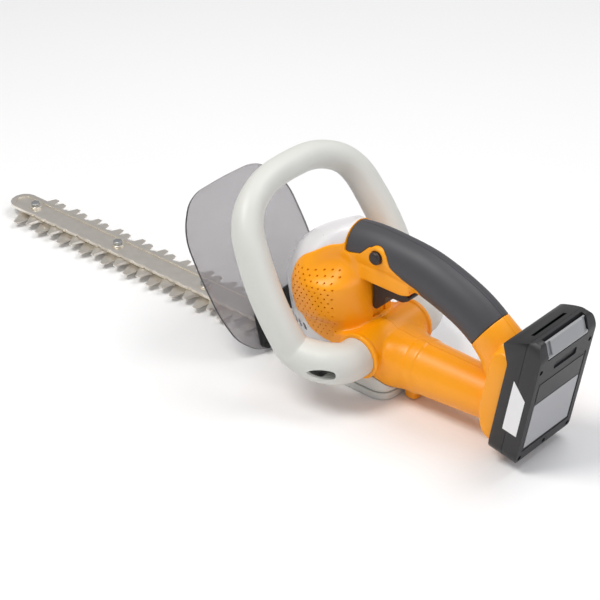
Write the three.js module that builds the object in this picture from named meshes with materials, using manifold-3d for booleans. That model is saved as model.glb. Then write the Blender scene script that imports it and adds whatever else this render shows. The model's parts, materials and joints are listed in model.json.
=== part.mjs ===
// A cordless hedge trimmer: two toothed blades on a guide bar, a motor and crank in a closed case,
// a rear handle, a loop handle, a clear hand shield and a sliding battery pack.
// +X points forward to the blade's tip, +Y to the tool's left and +Z up. All sizes are millimetres.
// The origin is on the plane that the tool rests on, straight below the crank's axis.
import * as THREE from 'three';
import { mergeVertices } from 'three/addons/utils/BufferGeometryUtils.js';
import Module from 'manifold-3d';

const wasm = await Module();
wasm.setup();

// ---------------------------------------------------------------- driving dimensions

const gap = 0.3; // clearance between pieces that touch
const slip = 0.45; // clearance around pieces that slide or turn
const wall = 2.6; // moulded wall of the housings
const fine = 20; // sides of a ring on an outer surface
const plain = 12; // sides of a ring on an inner surface

// Blades and guide bar
const toothPitch = 30;
const toothCount = 11; // on each side of each blade
const longReach = 28.4; // from the centre line to the lower blade's tooth tips
const shortReach = 24.6; // the same for the upper blade
const bladeSpine = 11; // half width of a blade between its teeth
const bladeThickness = 2.2;
const barHalfWidth = 13.5;
const barThickness = 3;
const barNose = 16; // from the last bolt to the bar's rounded tip, beyond its radius
const boltPitch = 3.8 * toothPitch;
const boltCount = 3;
const boltRadius = 2.5;

// Crank drive
const gearModule = 1.5;
const gearTeeth = 32;
const pinionTeeth = 8;
const gearFace = 6;
const crankThrow = 5;
const camRadius = 9.5;
const axleRadius = 3;

// Motor
const motorRadius = 21.5;
const motorLength = 58;
const shaftRadius = 2.4;
const fanRadius = 19;

// Gear case
const caseHalfWidth = 30;
const caseRear = -100;
const caseFront = 32;
const trayHeight = 6.6;
const caseTop = 33;

// Pod over the motor
const podHalfWidth = 41;
const podTop = 149;
const podFront = 27;
const podRear = -68;
const noseTaper = 0.36; // how much of its width the pod loses towards its nose
const panelProud = 1.4; // how far the side panels stand out from the front cover

// Cross-cylinder, tube and loop handle
const crossX = -76;
const crossZ = 44;
const crossRadius = 19.7;
const crossHalfLength = 38;
const collarWidth = 4;
const tubeFrontRadius = 25;
const tubeRearRadius = 21.5;
const tubeSeamX = -122;
const loopRadius = 14.6;
const loopTopRadius = 12.4;
const loopEndRadius = 17.6;
const loopHalfWidth = 79.5;
const loopHeight = 152;
const loopWall = 3;
const loopBoreSides = 14; // sides of the ring on the loop's inner surface
const loopLean = THREE.MathUtils.degToRad(30);

// Rear handle
const gripHalfWidth = 18.4;
const gripHalfDepth = 21;
const gripThickness = 2.8;

// Hand shield
const shieldFootX = 32;
const shieldHalfWidth = 68;
const shieldHeight = 156;
const shieldThickness = 2.6;

// Battery pack
const cellRadius = 9.1;
const cellLength = 64.6;
const cellCount = 5;
const packWall = 2.4;
const packThickness = 29.5;
const packTilt = THREE.MathUtils.degToRad(10.8);
const packSeat = { x: -212.8, z: 9 }; // lower end of the face that the pack slides on
const railHalfWidth = 21;
const railDepth = 6;

// Fasteners
const screwRadius = 1.6;
const screwHeadRadius = 3.3;
const screwHeadHeight = 2.4;
const bossRadius = 4.4;
const loopScrewRadius = 2.6;

// ---------------------------------------------------------------- sizes that follow

const gearRadius = gearModule * gearTeeth / 2;
const pinionRadius = gearModule * pinionTeeth / 2;
const motorX = -(gearRadius + pinionRadius);
const lowerBladeZ = 4.2;
const upperBladeZ = lowerBladeZ + bladeThickness + gap;
const barZ = upperBladeZ + bladeThickness + gap;
const barTop = barZ + barThickness;
const gearZ = barTop + 2;
const firstTooth = 68;
const lastTooth = firstTooth + (toothCount - 1) * toothPitch;
const lastBolt = lastTooth - 1;
const barTip = lastBolt + barNose + barHalfWidth;
const yokeHalfLength = camRadius + 2 * crankThrow + 1;
const yokeHalfWidth = camRadius + crankThrow + 1;
const packWidth = cellLength + 2 * packWall + 5.4;
const cellPitch = 2 * cellRadius + 0.4;
const packHeight = cellCount * cellPitch + 36;
const motorPlateZ = caseTop + gap;
const motorZ = motorPlateZ + 3 + gap;
const motorTop = motorZ + motorLength;

// ---------------------------------------------------------------- working with solids

// The manifold solid of a closed three.js geometry.
function toSolid(source) {
  const bare = source.index ? source.toNonIndexed() : source.clone();
  bare.deleteAttribute('normal');
  bare.deleteAttribute('uv');
  const merged = mergeVertices(bare, 1e-4);
  const vertProperties = new Float32Array(merged.attributes.position.array);
  const triVerts = new Uint32Array(merged.index.array);
  return new wasm.Manifold(new wasm.Mesh({ numProp: 3, vertProperties, triVerts }));
}

// The three.js geometry of a solid.
function toGeometry(solid) {
  const mesh = solid.getMesh();
  const geometry = new THREE.BufferGeometry();
  geometry.setAttribute('position', new THREE.BufferAttribute(new Float32Array(mesh.vertProperties), 3));
  geometry.setIndex(new THREE.BufferAttribute(new Uint32Array(mesh.triVerts), 1));
  geometry.computeVertexNormals();
  return geometry;
}

function join(first, ...others) {
  return others.reduce((sum, other) => sum.add(other), first);
}

function cut(first, ...others) {
  return others.reduce((rest, other) => rest.subtract(other), first);
}

function block(x0, x1, y0, y1, z0, z1) {
  const geometry = new THREE.BoxGeometry(x1 - x0, y1 - y0, z1 - z0);
  geometry.translate((x0 + x1) / 2, (y0 + y1) / 2, (z0 + z1) / 2);
  return toSolid(geometry);
}

// A round bar along Z; a second radius makes it a cone towards its top.
function barAlongZ(x, y, z0, z1, radius, sides = 20, topRadius = radius) {
  const geometry = new THREE.CylinderGeometry(topRadius, radius, z1 - z0, sides);
  geometry.rotateX(Math.PI / 2);
  geometry.translate(x, y, (z0 + z1) / 2);
  return toSolid(geometry);
}

function barAlongY(x, z, y0, y1, radius, sides = 20, endRadius = radius) {
  const geometry = new THREE.CylinderGeometry(endRadius, radius, y1 - y0, sides);
  geometry.translate(x, (y0 + y1) / 2, z);
  return toSolid(geometry);
}

function barAlongX(y, z, x0, x1, radius, sides = 20, frontRadius = radius) {
  const geometry = new THREE.CylinderGeometry(frontRadius, radius, x1 - x0, sides);
  geometry.rotateZ(-Math.PI / 2);
  geometry.translate((x0 + x1) / 2, y, z);
  return toSolid(geometry);
}

// A closed outline through the corner points, each rounded by the radius or by its own third number,
// as far as its sides allow.
function softShape(points, radius) {
  const corners = points.map(([x, y]) => new THREE.Vector2(x, y));
  const shape = new THREE.Shape();
  corners.forEach((corner, i) => {
    const [, , ownRadius = radius] = points[i];
    const before = corners.at(i - 1);
    const after = corners[(i + 1) % corners.length];
    const reach = Math.min(ownRadius, before.distanceTo(corner) * 0.49, after.distanceTo(corner) * 0.49);
    const start = corner.clone().addScaledVector(before.clone().sub(corner).normalize(), reach);
    const end = corner.clone().addScaledVector(after.clone().sub(corner).normalize(), reach);
    if (i === 0) {
      shape.moveTo(start.x, start.y);
    } else {
      shape.lineTo(start.x, start.y);
    }
    if (reach > 0) {
      shape.quadraticCurveTo(corner.x, corner.y, end.x, end.y);
    }
  });
  shape.closePath();
  return shape;
}

function extrude(shape, depth, curveSegments = 3) {
  return new THREE.ExtrudeGeometry(shape, { depth, bevelEnabled: false, curveSegments });
}

// A plate with its outline in x and z, standing between two y values.
function plateAcross(points, y0, y1, radius = 0) {
  const geometry = extrude(softShape(points, radius), y1 - y0);
  geometry.rotateX(Math.PI / 2);
  geometry.translate(0, y1, 0);
  return toSolid(geometry);
}

// A plate with its outline in x and y, lying between two z values.
function plateFlat(points, z0, z1, radius = 0) {
  const geometry = extrude(softShape(points, radius), z1 - z0);
  geometry.translate(0, 0, z0);
  return toSolid(geometry);
}

// A closed skin over rings of equally many points, with a fan over each end.
function loft(rings) {
  const sides = rings[0].length;
  const centre = (ring) => ring.reduce((sum, p) => sum.add(p), new THREE.Vector3()).divideScalar(sides);
  const points = [...rings.flat(), centre(rings[0]), centre(rings.at(-1))];
  const first = points.length - 2;
  const last = points.length - 1;
  const faces = [];
  for (let i = 0; i < sides; i += 1) {
    const next = (i + 1) % sides;
    for (let k = 0; k < rings.length - 1; k += 1) {
      const low = k * sides;
      const high = low + sides;
      faces.push(low + i, low + next, high + next);
      faces.push(low + i, high + next, high + i);
    }
    const top = (rings.length - 1) * sides;
    faces.push(first, next, i);
    faces.push(last, top + i, top + next);
  }
  const geometry = new THREE.BufferGeometry();
  geometry.setAttribute('position', new THREE.Float32BufferAttribute(points.flatMap((p) => p.toArray()), 3));
  geometry.setIndex(faces);
  const solid = toSolid(geometry);
  if (solid.volume() > 0) {
    return solid;
  }
  const flipped = faces.slice();
  for (let i = 0; i < flipped.length; i += 3) {
    [flipped[i], flipped[i + 1]] = [flipped[i + 1], flipped[i]];
  }
  geometry.setIndex(flipped);
  return toSolid(geometry);
}

// A ring of points around a centre; a power above 2 squares the ellipse off.
function ring(centre, acrossDirection, upDirection, halfAcross, halfUp, power = 2, sides = 20) {
  return Array.from({ length: sides }, (_, i) => {
    const angle = 2 * Math.PI * (i + 0.5) / sides;
    const across = Math.sign(Math.cos(angle)) * Math.abs(Math.cos(angle)) ** (2 / power) * halfAcross;
    const up = Math.sign(Math.sin(angle)) * Math.abs(Math.sin(angle)) ** (2 / power) * halfUp;
    return centre.clone().addScaledVector(acrossDirection, across).addScaledVector(upDirection, up);
  });
}

const alongX = new THREE.Vector3(1, 0, 0);
const alongY = new THREE.Vector3(0, 1, 0);
const alongZ = new THREE.Vector3(0, 0, 1);

// The part of a solid on one side of the centre plane, with half the clearance taken off it.
function halfOf(solid, side) {
  const far = 600;
  const near = gap / 2;
  const slab = side > 0 ? block(-far, far, near, far, -far, far) : block(-far, far, -far, -near, -far, far);
  return solid.intersect(slab);
}

// ---------------------------------------------------------------- the assembly

const model = new THREE.Group();
const packGroup = new THREE.Group();
packGroup.position.set(packSeat.x, 0, packSeat.z);
packGroup.rotation.y = -packTilt;
model.add(packGroup);
model.updateMatrixWorld(true);
packGroup.updateMatrixWorld(true);

const finishes = {
  yellow: [0xf7a50f, 0.42, 0],
  lightGrey: [0xcfd0cb, 0.5, 0],
  white: [0xeceaea, 0.4, 0],
  rubber: [0x4b4b50, 0.8, 0],
  darkPlastic: [0x2a2526, 0.5, 0],
  black: [0x232326, 0.5, 0],
  packGrey: [0x4a4a4c, 0.55, 0],
  latchGrey: [0x97989a, 0.4, 0],
  clear: [0xb4b0b4, 0.2, 0],
  steel: [0xbeb9af, 0.35, 1],
  darkSteel: [0x6f6f70, 0.4, 1],
  brass: [0xc8a355, 0.35, 1],
  aluminium: [0xb9bcbe, 0.4, 1],
  cellGreen: [0x3f8f6c, 0.5, 0],
  boardGreen: [0x2d6b3c, 0.5, 0],
  copper: [0xb8743c, 0.35, 1],
  redLead: [0xb02a22, 0.6, 0],
  blackLead: [0x1d1d1f, 0.6, 0],
};

function addPiece(name, solid, finish, parent = model) {
  const [color, roughness, metalness] = finishes[finish];
  const material = new THREE.MeshStandardMaterial({ color, roughness, metalness });
  const mesh = new THREE.Mesh(toGeometry(solid), material);
  mesh.name = name;
  parent.add(mesh);
}

// ---------------------------------------------------------------- pod, handle and tube outlines

// Rings of the pod from its foot to its top: height, how far forward and back, half width.
function podSolid(inset, foot = 0) {
  const heights = [0, 0.25, 0.42, 0.54, 0.68, 0.78, 0.88, 0.95, 1];
  const fronts = [-3, 0, 0, -4, -13, -24, -41, -56, -70];
  const rears = [0, 0, 2, 4, 8, 12, 15, 15, 13];
  const shares = [0.8, 0.93, 1, 1.02, 0.96, 0.86, 0.68, 0.5, 0.3];
  const bottom = caseTop + gap;
  const rings = heights.map((share, i) => {
    const z = bottom + share * (podTop - inset - bottom);
    const front = podFront + fronts[i] - inset;
    const rear = podRear + rears[i] + inset;
    const half = podHalfWidth * shares[i] - inset;
    const centre = new THREE.Vector3((front + rear) / 2, 0, z);
    const points = ring(centre, alongX, alongY, (front - rear) / 2, half, 2.2, inset > 0 ? plain : fine);
    points.forEach((p) => {
      const ahead = Math.max(0, (p.x - centre.x) / (front - centre.x));
      p.y *= 1 - noseTaper * ahead ** 2;
    });
    return points;
  });
  if (foot < 0) {
    rings.unshift(rings[0].map((p) => p.clone().setZ(bottom + foot)));
  }
  return loft(rings);
}

// The rear handle's centre line in x and z, from the pod back to the neck.
const spine = [
  [-42, 127.5], [-66, 130.5], [-92, 130], [-121, 127], [-149, 118.5], [-172, 108], [-191, 94.5],
];

function spineRings(halfWidth, halfDepth, sides) {
  const curve = new THREE.CatmullRomCurve3(spine.map(([x, z]) => new THREE.Vector3(x, 0, z)));
  const steps = 9;
  return Array.from({ length: steps + 1 }, (_, i) => {
    const centre = curve.getPoint(i / steps);
    const tangent = curve.getTangent(i / steps);
    const up = new THREE.Vector3().crossVectors(tangent, alongY).normalize();
    return ring(centre, alongY, up, halfWidth, halfDepth, 2, sides);
  });
}

function handleSolid(inset) {
  return loft(spineRings(gripHalfWidth - inset, gripHalfDepth - inset, inset > gripThickness ? plain : 16));
}

// The line below which the handle's front is housing and not grip, in x and z.
const gripEdge = [
  [-50, 128], [-62, 131], [-70, 139.5], [-80, 142.5], [-89, 138.5], [-94, 129], [-108, 121.5], [-122, 117],
  [-126, 100],
];
const beakFoot = [[-122, 98], [-114, 108], [-104, 105], [-58, 105]];

function beakRegion(grow) {
  const edge = gripEdge.map(([x, z]) => [x, z + grow]);
  return plateAcross([...edge, [-126, 60], [-20, 60], [-20, 128 + grow]], -60, 60);
}

// The wedge under the handle's front that holds the trigger.
function beakSolid(inset) {
  const outline = [[-50, 120], [-112, 117], ...beakFoot.slice(1)];
  const half = gripHalfWidth - 1.6 - inset;
  return plateAcross(outline, -half, half, 3);
}

// From the grip's rear ring down into the block that carries the battery pack.
function neckSolid(inset) {
  const stations = [
    [[-186, 98.5], 1, 1],
    [[-197, 88.5], 1.02, 1.04],
    [[-206, 78], 1.15, 1.06],
    [[-211, 66], 1.3, 0.86],
  ];
  const curve = new THREE.CatmullRomCurve3(stations.map(([[x, z]]) => new THREE.Vector3(x, 0, z)));
  const rings = stations.map(([, widthShare, depthShare], i) => {
    const share = i / (stations.length - 1);
    const tangent = curve.getTangent(share);
    const up = new THREE.Vector3().crossVectors(tangent, alongY).normalize();
    const halfWidth = gripHalfWidth * widthShare - inset;
    const halfDepth = gripHalfDepth * depthShare - inset;
    return ring(curve.getPoint(share), alongY, up, halfWidth, halfDepth, 2.4, inset > 0 ? plain : 16);
  });
  return loft(rings);
}

// The block behind the neck and tube, drawn in the pack's own frame: x forward, z up the slide.
function footSolid(inset) {
  const outline = [
    [0, 5 + inset], [7, 7 + inset], [14 - inset, 15 + inset], [19 - inset, 30], [19 - inset, 84],
    [20 - inset, 88 - inset], [14, 93 - inset], [3, 93 - inset], [0, 90],
  ];
  const half = packWidth / 2 - 4.5 - inset;
  const body = extrude(softShape(outline, 5), 2 * half);
  body.rotateX(Math.PI / 2);
  body.translate(0, half, 0);
  body.applyMatrix4(packGroup.matrixWorld);
  const waist = extrude(softShape([
    [-half, 5], [half, 5], [half, 78], [railHalfWidth + 4 - inset, 100], [-railHalfWidth - 4 + inset, 100],
    [-half, 78],
  ], 9), 60);
  waist.rotateX(Math.PI / 2);
  waist.rotateZ(Math.PI / 2);
  waist.translate(-10, 0, 0);
  waist.applyMatrix4(packGroup.matrixWorld);
  return toSolid(body).intersect(toSolid(waist));
}

// The lower tube, with the socket that widens to meet the cross-cylinder.
function tubeSolid(inset) {
  const stations = [
    [-216, 1.02 * tubeRearRadius, 1.02 * tubeRearRadius, 38, 2.2],
    [-200, tubeRearRadius, tubeRearRadius, 35.6, 2],
    [tubeSeamX - 0.5, tubeFrontRadius - 0.8, tubeFrontRadius - 0.8, 33.6, 2],
    [tubeSeamX, tubeFrontRadius, tubeFrontRadius, 33.6, 2],
    [-108, 1.05 * tubeFrontRadius, tubeFrontRadius, 33.5, 2.2],
    [-94, 1.22 * tubeFrontRadius, 0.96 * tubeFrontRadius, 35, 2.8],
    [crossX, 1.34 * tubeFrontRadius, 0.74 * tubeFrontRadius, 40, 3.2],
  ];
  const rings = stations.map(([x, halfWidth, halfHeight, z, power]) => {
    const centre = new THREE.Vector3(x, 0, z);
    const sides = inset > 0 ? plain : fine;
    return ring(centre, alongY, alongZ, halfWidth - inset, halfHeight - inset, power, sides);
  });
  return loft(rings);
}

// A solid drawn in one frame and set in another.
function placed(solid, matrix) {
  return toSolid(toGeometry(solid).applyMatrix4(matrix));
}

// ---------------------------------------------------------------- housing halves

const coverEdgeX = -44.8; // where the front cover ends, above the handle
const rimWidth = 1.5; // the housing's rim between the cover and the grip
const gripFrontX = coverEdgeX - rimWidth;

// Everything behind this line in x and z is side panel; ahead of it is the front cover.
function panelRegion(grow) {
  const edge = [
    [coverEdgeX, 170], [coverEdgeX - 1, 134], [-32, 131], [-13, 119], [-7, 109], [-6, 91], [-11, 68], [-22, 50],
    [-37, 43], [-58, 41],
    [-64, 20],
  ];
  const outline = edge.map(([x, z]) => [x + grow, z]);
  return plateAcross([...outline, [-260, 20], [-260, 170]], -60, 60, 5);
}

// Places of the screws that hold the housing halves together, in x and z.
const housingScrewPlaces = [[-60, 119], [-59, 74], [-104, 22], [-160, 27], [-201, 77]];
const screwSeatY = -12; // where a screw head bears, measured from the centre plane
const screwTipY = 9;

// The groove that the pack's rail slides down, in the pack's frame and open at its top.
function railGroove(extra) {
  const bottom = 30 - extra;
  const neckHalf = railHalfWidth - 5 + extra;
  const neck = block(-3, railDepth / 2 + slip, -neckHalf, neckHalf, bottom, 160);
  const head = block(
    railDepth / 2 - extra, railDepth + extra, -railHalfWidth - extra, railHalfWidth + extra, bottom, 160,
  );
  return join(neck, head);
}

const terminalY = 9;

function terminalPocket(extra) {
  return block(-1, railDepth + 1 + extra, -14 - extra, 14 + extra, 17 - extra, 29.3 + extra);
}

const triggerHalfWidth = 8;
const triggerPin = { x: -73, z: 103 };
const triggerPinRadius = 1.8;
const lockButton = { x: -80, z: 134 };
const lockHeadRadius = 5.9;
const lockShaftRadius = 2.6;
const lockTravel = 3.5;

// What the pack sweeps as it slides off, in the pack's frame.
function packSweep() {
  const rear = -80;
  return plateAcross([
    [rear, -20], [0, -20], [0, packHeight - 34], [3 + gap, packHeight - 27], [8 + gap, packHeight - 16.5],
    [8 + gap, packHeight + 60], [rear, packHeight + 60],
  ], -80, 80);
}

// Fills the valley between the pod's foot and the cross-cylinder.
function saddleSolid() {
  const outline = [[crossX, 62], [-56, 58], [-42, 52], [-42, 36], [crossX, 30]];
  return plateAcross(outline, -34, 34, 4);
}

// Closes the housing behind the front cover, around the handle's front end.
function bulkheadSolid() {
  return podSolid(-panelProud).intersect(block(gripFrontX, coverEdgeX, -60, 60, 110, 200));
}

function housingOuter() {
  const underGrip = join(beakRegion(0), block(gripFrontX, 100, -60, 60, 0, 200));
  const pod = podSolid(-panelProud).intersect(panelRegion(0)).intersect(underGrip);
  const handleCore = handleSolid(gripThickness);
  const rim = block(gripFrontX, coverEdgeX, -60, 60, 0, 200);
  const handleFront = handleSolid(0).intersect(join(beakRegion(0), rim));
  const cross = barAlongY(crossX, crossZ, -crossHalfLength, crossHalfLength, crossRadius, 28);
  const collars = [-1, 1].map((side) => {
    const edge = side * crossHalfLength;
    const inner = side * (crossHalfLength - collarWidth);
    return barAlongY(crossX, crossZ, Math.min(edge, inner), Math.max(edge, inner), crossRadius + 1.3, 28);
  });
  const restFoot = plateFlat([[-116, -9], [-103, -9], [-103, 9], [-116, 9]], 0, 20, 4);
  return cut(
    join(
      pod, handleCore, handleFront, beakSolid(0), neckSolid(0), footSolid(0), tubeSolid(0),
      saddleSolid(), cross, ...collars, restFoot,
    ),
    block(coverEdgeX, 200, -100, 100, 0, 300).subtract(panelRegion(0)),
    frontCoverSkin(-gap),
    placed(packSweep(), packGroup.matrixWorld),
  );
}

function housingInner() {
  const wires = block(crossX - 12, crossX + 26, -13, 13, 37, 53);
  const foot = cut(
    footSolid(wall),
    placed(railGroove(slip + wall), packGroup.matrixWorld),
    placed(terminalPocket(gap + wall), packGroup.matrixWorld),
    placed(block(-40, wall, -100, 100, -20, 200), packGroup.matrixWorld),
  );
  const handle = handleSolid(gripThickness + wall).subtract(block(-300, -196, -50, 50, 0, 200));
  return join(podSolid(wall, -4), handle, neckSolid(wall + 0.6), foot, tubeSolid(wall), wires);
}

function frontCoverSkin(grow) {
  return podSolid(grow).subtract(panelRegion(gap + grow));
}

function screwBosses() {
  return housingScrewPlaces.map(([x, z]) => barAlongY(x, z, -40, 40, bossRadius, 10));
}

function screwHoles() {
  return housingScrewPlaces.map(([x, z]) => join(
    barAlongY(x, z, -60, screwSeatY, screwHeadRadius + gap, 10),
    barAlongY(x, z, screwSeatY - 1, screwTipY + 2, screwRadius + gap, 8),
  ));
}

function loopScrewHole() {
  return [-1, 1].map((side) => crossBar(side, 16, 90, loopScrewRadius + gap, 14));
}

const lockBoss = barAlongY(lockButton.x, lockButton.z, 8, 17, 8.5, 16);
const triggerSlot = block(-113, -66.6, -triggerHalfWidth - slip, triggerHalfWidth + slip, 66, 113);
const beakFill = beakSolid(0).subtract(block(-66.6, 0, -50, 50, 0, 200));
const housing = cut(
  housingOuter(),
  cut(housingInner(), ...screwBosses(), lockBoss, beakFill, bulkheadSolid()),
  ...screwHoles(),
  ...loopScrewHole(),
  triggerSlot,
  barAlongY(triggerPin.x, triggerPin.z, -13, 13, triggerPinRadius + gap, 12),
  barAlongY(lockButton.x, lockButton.z, 17.6 - lockTravel, 40, lockHeadRadius + slip, 20),
  barAlongY(lockButton.x, lockButton.z, 0, 20, lockShaftRadius + gap, 14),
  placed(railGroove(slip), packGroup.matrixWorld),
  placed(terminalPocket(gap), packGroup.matrixWorld),
);

addPiece('left_housing', halfOf(housing, 1), 'yellow');
addPiece('right_housing', halfOf(housing, -1), 'yellow');

housingScrewPlaces.forEach(([x, z], i) => {
  const head = barAlongY(x, z, screwSeatY - screwHeadHeight, screwSeatY - gap, screwHeadRadius, 12);
  const shank = barAlongY(x, z, screwSeatY - gap - 0.5, screwTipY, screwRadius, 8);
  addPiece(`housing_screw_${i + 1}`, join(head, shank), 'steel');
});

// ---------------------------------------------------------------- front cover

const ventCount = 3;
const vents = Array.from({ length: ventCount }, (_, i) => {
  const x = -14 + 9 * i;
  return block(x, x + 2.4, -80, 80, 42, 54);
});
const coverShell = cut(frontCoverSkin(0), podSolid(wall, -4), ...vents);
addPiece('front_cover', coverShell, 'white');

// ---------------------------------------------------------------- grip

const sleeve = cut(
  handleSolid(0),
  handleSolid(gripThickness - gap),
  beakRegion(gap),
  beakSolid(-gap),
  block(gripFrontX - gap, 100, -60, 60, 0, 300),
  neckSolid(-gap),
  ...housingScrewPlaces.map(([x, z]) => barAlongY(x, z, -60, screwSeatY, screwHeadRadius + gap, 10)),
);
addPiece('left_grip', halfOf(sleeve, 1), 'rubber');
addPiece('right_grip', halfOf(sleeve, -1), 'rubber');

// ---------------------------------------------------------------- trigger, switch and lock-off button

const triggerOutline = [
  [-67.4, 107], [-77, 107.5], [-84, 104], [-106, 100.5], [-107, 97], [-100, 92.6], [-84, 92.2], [-80.5, 89],
  [-80, 83], [-71, 74.5], [-67.4, 76],
];
const trigger = join(
  plateAcross(triggerOutline, -triggerHalfWidth, triggerHalfWidth, 1.5),
  barAlongY(triggerPin.x, triggerPin.z, -12.6, 12.6, triggerPinRadius, 14),
);
addPiece('trigger', trigger, 'darkPlastic');
addPiece('switch_body', join(block(-113, -87, -7, 7, 119, 134), block(-98, -94, -3, 3, 134, 137)), 'black');

// A coil spring standing between two points.
function coil(start, end, radius, wireRadius, turns) {
  const axis = end.clone().sub(start);
  const turnFrame = new THREE.Quaternion().setFromUnitVectors(alongZ, axis.clone().normalize());
  const length = axis.length() - 2 * wireRadius;
  const stepsPerTurn = 10;
  const points = Array.from({ length: turns * stepsPerTurn + 1 }, (_, i) => {
    const angle = 2 * Math.PI * i / stepsPerTurn;
    const height = wireRadius + length * i / (turns * stepsPerTurn);
    const point = new THREE.Vector3(radius * Math.cos(angle), radius * Math.sin(angle), height);
    return point.applyQuaternion(turnFrame).add(start);
  });
  return rope(points, wireRadius, points.length - 1, 6);
}

// A round bar of one thickness along a curve through the points.
function rope(points, radius, steps, sides) {
  const section = new THREE.Shape(
    Array.from({ length: sides }, (_, i) => {
      const angle = 2 * Math.PI * i / sides;
      return new THREE.Vector2(radius * Math.cos(angle), radius * Math.sin(angle));
    }),
  );
  const extrudePath = new THREE.CatmullRomCurve3(points);
  return toSolid(new THREE.ExtrudeGeometry(section, { extrudePath, steps }));
}

const springFoot = new THREE.Vector3(-96, 0, 102.8);
const springHead = new THREE.Vector3(-96, 0, 113 - gap);
addPiece('trigger_spring', coil(springFoot, springHead, 2.8, 0.45, 4), 'steel');

const lockHeadInner = 17.6;
const lockOff = join(
  barAlongY(lockButton.x, lockButton.z, lockHeadInner, lockHeadInner + 3, lockHeadRadius, 20),
  barAlongY(lockButton.x, lockButton.z, lockHeadInner + 3, lockHeadInner + 5, lockHeadRadius, 20, 3.6),
  barAlongY(lockButton.x, lockButton.z, 5, lockHeadInner + 1, lockShaftRadius, 12),
);
addPiece('lock_off_button', lockOff, 'darkPlastic');
const lockSpringStart = new THREE.Vector3(lockButton.x, lockHeadInner - lockTravel + gap, lockButton.z);
const lockSpringEnd = new THREE.Vector3(lockButton.x, lockHeadInner - gap, lockButton.z);
addPiece('lock_off_spring', coil(lockSpringStart, lockSpringEnd, 4.1, 0.4, 2), 'steel');

// ---------------------------------------------------------------- loop handle

// From a leaning plane that starts on the line x = footX, z = footZ: its own x is the tool's +Y,
// its own y runs up the slope and its own z points forward and down, square to the plane.
function leaningFrame(footX, footZ) {
  const up = new THREE.Vector3(Math.sin(loopLean), 0, Math.cos(loopLean));
  const out = new THREE.Vector3().crossVectors(alongY, up);
  return new THREE.Matrix4().makeBasis(alongY, up, out).setPosition(footX, 0, footZ);
}

const loopFrame = leaningFrame(-43, 42.5);

// The left half of the loop, from the cross-cylinder to the middle of the top, with its radius.
function loopStations() {
  const w = loopHalfWidth;
  const h = loopHeight;
  const onPlane = (y, s, radius) => [new THREE.Vector3(y, s, 0).applyMatrix4(loopFrame), radius];
  const end = crossHalfLength + gap;
  return [
    [new THREE.Vector3(crossX, end, crossZ), loopEndRadius],
    [new THREE.Vector3(crossX + 1, end + 12, crossZ), loopEndRadius],
    [new THREE.Vector3(crossX + 8, w - 19, crossZ + 0.6), 1.02 * loopEndRadius],
    [new THREE.Vector3(crossX + 22, w - 11.5, crossZ + 2), 0.97 * loopEndRadius],
    onPlane(w - 5.5, 11, loopRadius * 1.05),
    onPlane(w - 1.5, 29, loopRadius),
    onPlane(w, 53, loopRadius),
    onPlane(w - 0.8, 76, loopRadius),
    onPlane(w - 3.5, 97, loopRadius * 0.98),
    onPlane(w - 8, h - 35, loopRadius * 0.95),
    onPlane(w - 18, h - 19, loopRadius * 0.9),
    onPlane(w - 34, h - 8, loopTopRadius * 1.02),
    onPlane(w - 54, h - 1.5, loopTopRadius),
    onPlane(0, h, loopTopRadius),
  ];
}

function loopSolid(inset) {
  const half = loopStations();
  const mirrored = half.slice(0, -1).reverse().map(([p, radius]) => {
    return [new THREE.Vector3(p.x, -p.y, p.z), radius];
  });
  const stations = [...half, ...mirrored];
  if (inset > 0) {
    stations[0][0].y -= 1;
    stations.at(-1)[0].y += 1;
  }
  const rings = stations.map(([centre, radius], i) => {
    const before = stations[Math.max(i - 1, 0)][0];
    const after = stations[Math.min(i + 1, stations.length - 1)][0];
    const atEnd = i === 0 || i === stations.length - 1;
    const outward = alongY.clone().multiplyScalar(i === 0 ? 1 : -1);
    const tangent = atEnd ? outward : after.clone().sub(before).normalize();
    const out = new THREE.Vector3(Math.cos(loopLean), 0, -Math.sin(loopLean));
    out.addScaledVector(tangent, -out.dot(tangent)).normalize();
    const side = new THREE.Vector3().crossVectors(out, tangent);
    return ring(centre, side, out, radius - inset, radius - inset, 2, inset > 0 ? loopBoreSides : 16);
  });
  return loft(rings);
}

const screwSeat = crossHalfLength + 22;

// A bar on the cross-cylinder's axis, on one side of the tool, between two distances from the middle.
function crossBar(side, near, far, radius, sides = 18) {
  const ends = [side * near, side * far];
  return barAlongY(crossX, crossZ, Math.min(...ends), Math.max(...ends), radius, sides);
}

const loopHandle = cut(
  loopSolid(0),
  cut(loopSolid(loopWall), ...[1, -1].map((side) => crossBar(side, crossHalfLength - 3, 110, 8.5))),
  ...loopScrewHole(),
  crossBar(1, screwSeat, 110, 5.8),
  crossBar(-1, screwSeat, 110, 5.8),
);
addPiece('loop_handle', loopHandle, 'lightGrey');

[['left', 1], ['right', -1]].forEach(([name, side]) => {
  const head = crossBar(side, screwSeat + gap, screwSeat + 4, 4.6);
  const shank = crossBar(side, 18, screwSeat + 3, loopScrewRadius, 12);
  addPiece(`loop_screw_${name}`, join(head, shank), 'steel');
});

// ---------------------------------------------------------------- gear case and its bottom plate

// A block with rounded upright corners whose top may be drawn in.
function roundedBlock(x0, x1, half, z0, z1, corner, frontCorner = corner, topInset = 0, shoulder = z0) {
  const outline = (inset) => softShape([
    [x0 + inset, -half + inset], [x1 - inset, -half + inset, frontCorner],
    [x1 - inset, half - inset, frontCorner], [x0 + inset, half - inset],
  ], corner).getPoints(4).slice(0, -1);
  const levels = topInset > 0 ? [[z0, 0], [shoulder, 0], [z1, topInset]] : [[z0, 0], [z1, 0]];
  return loft(levels.map(([z, inset]) => outline(inset).map((p) => new THREE.Vector3(p.x, p.y, z))));
}

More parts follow.
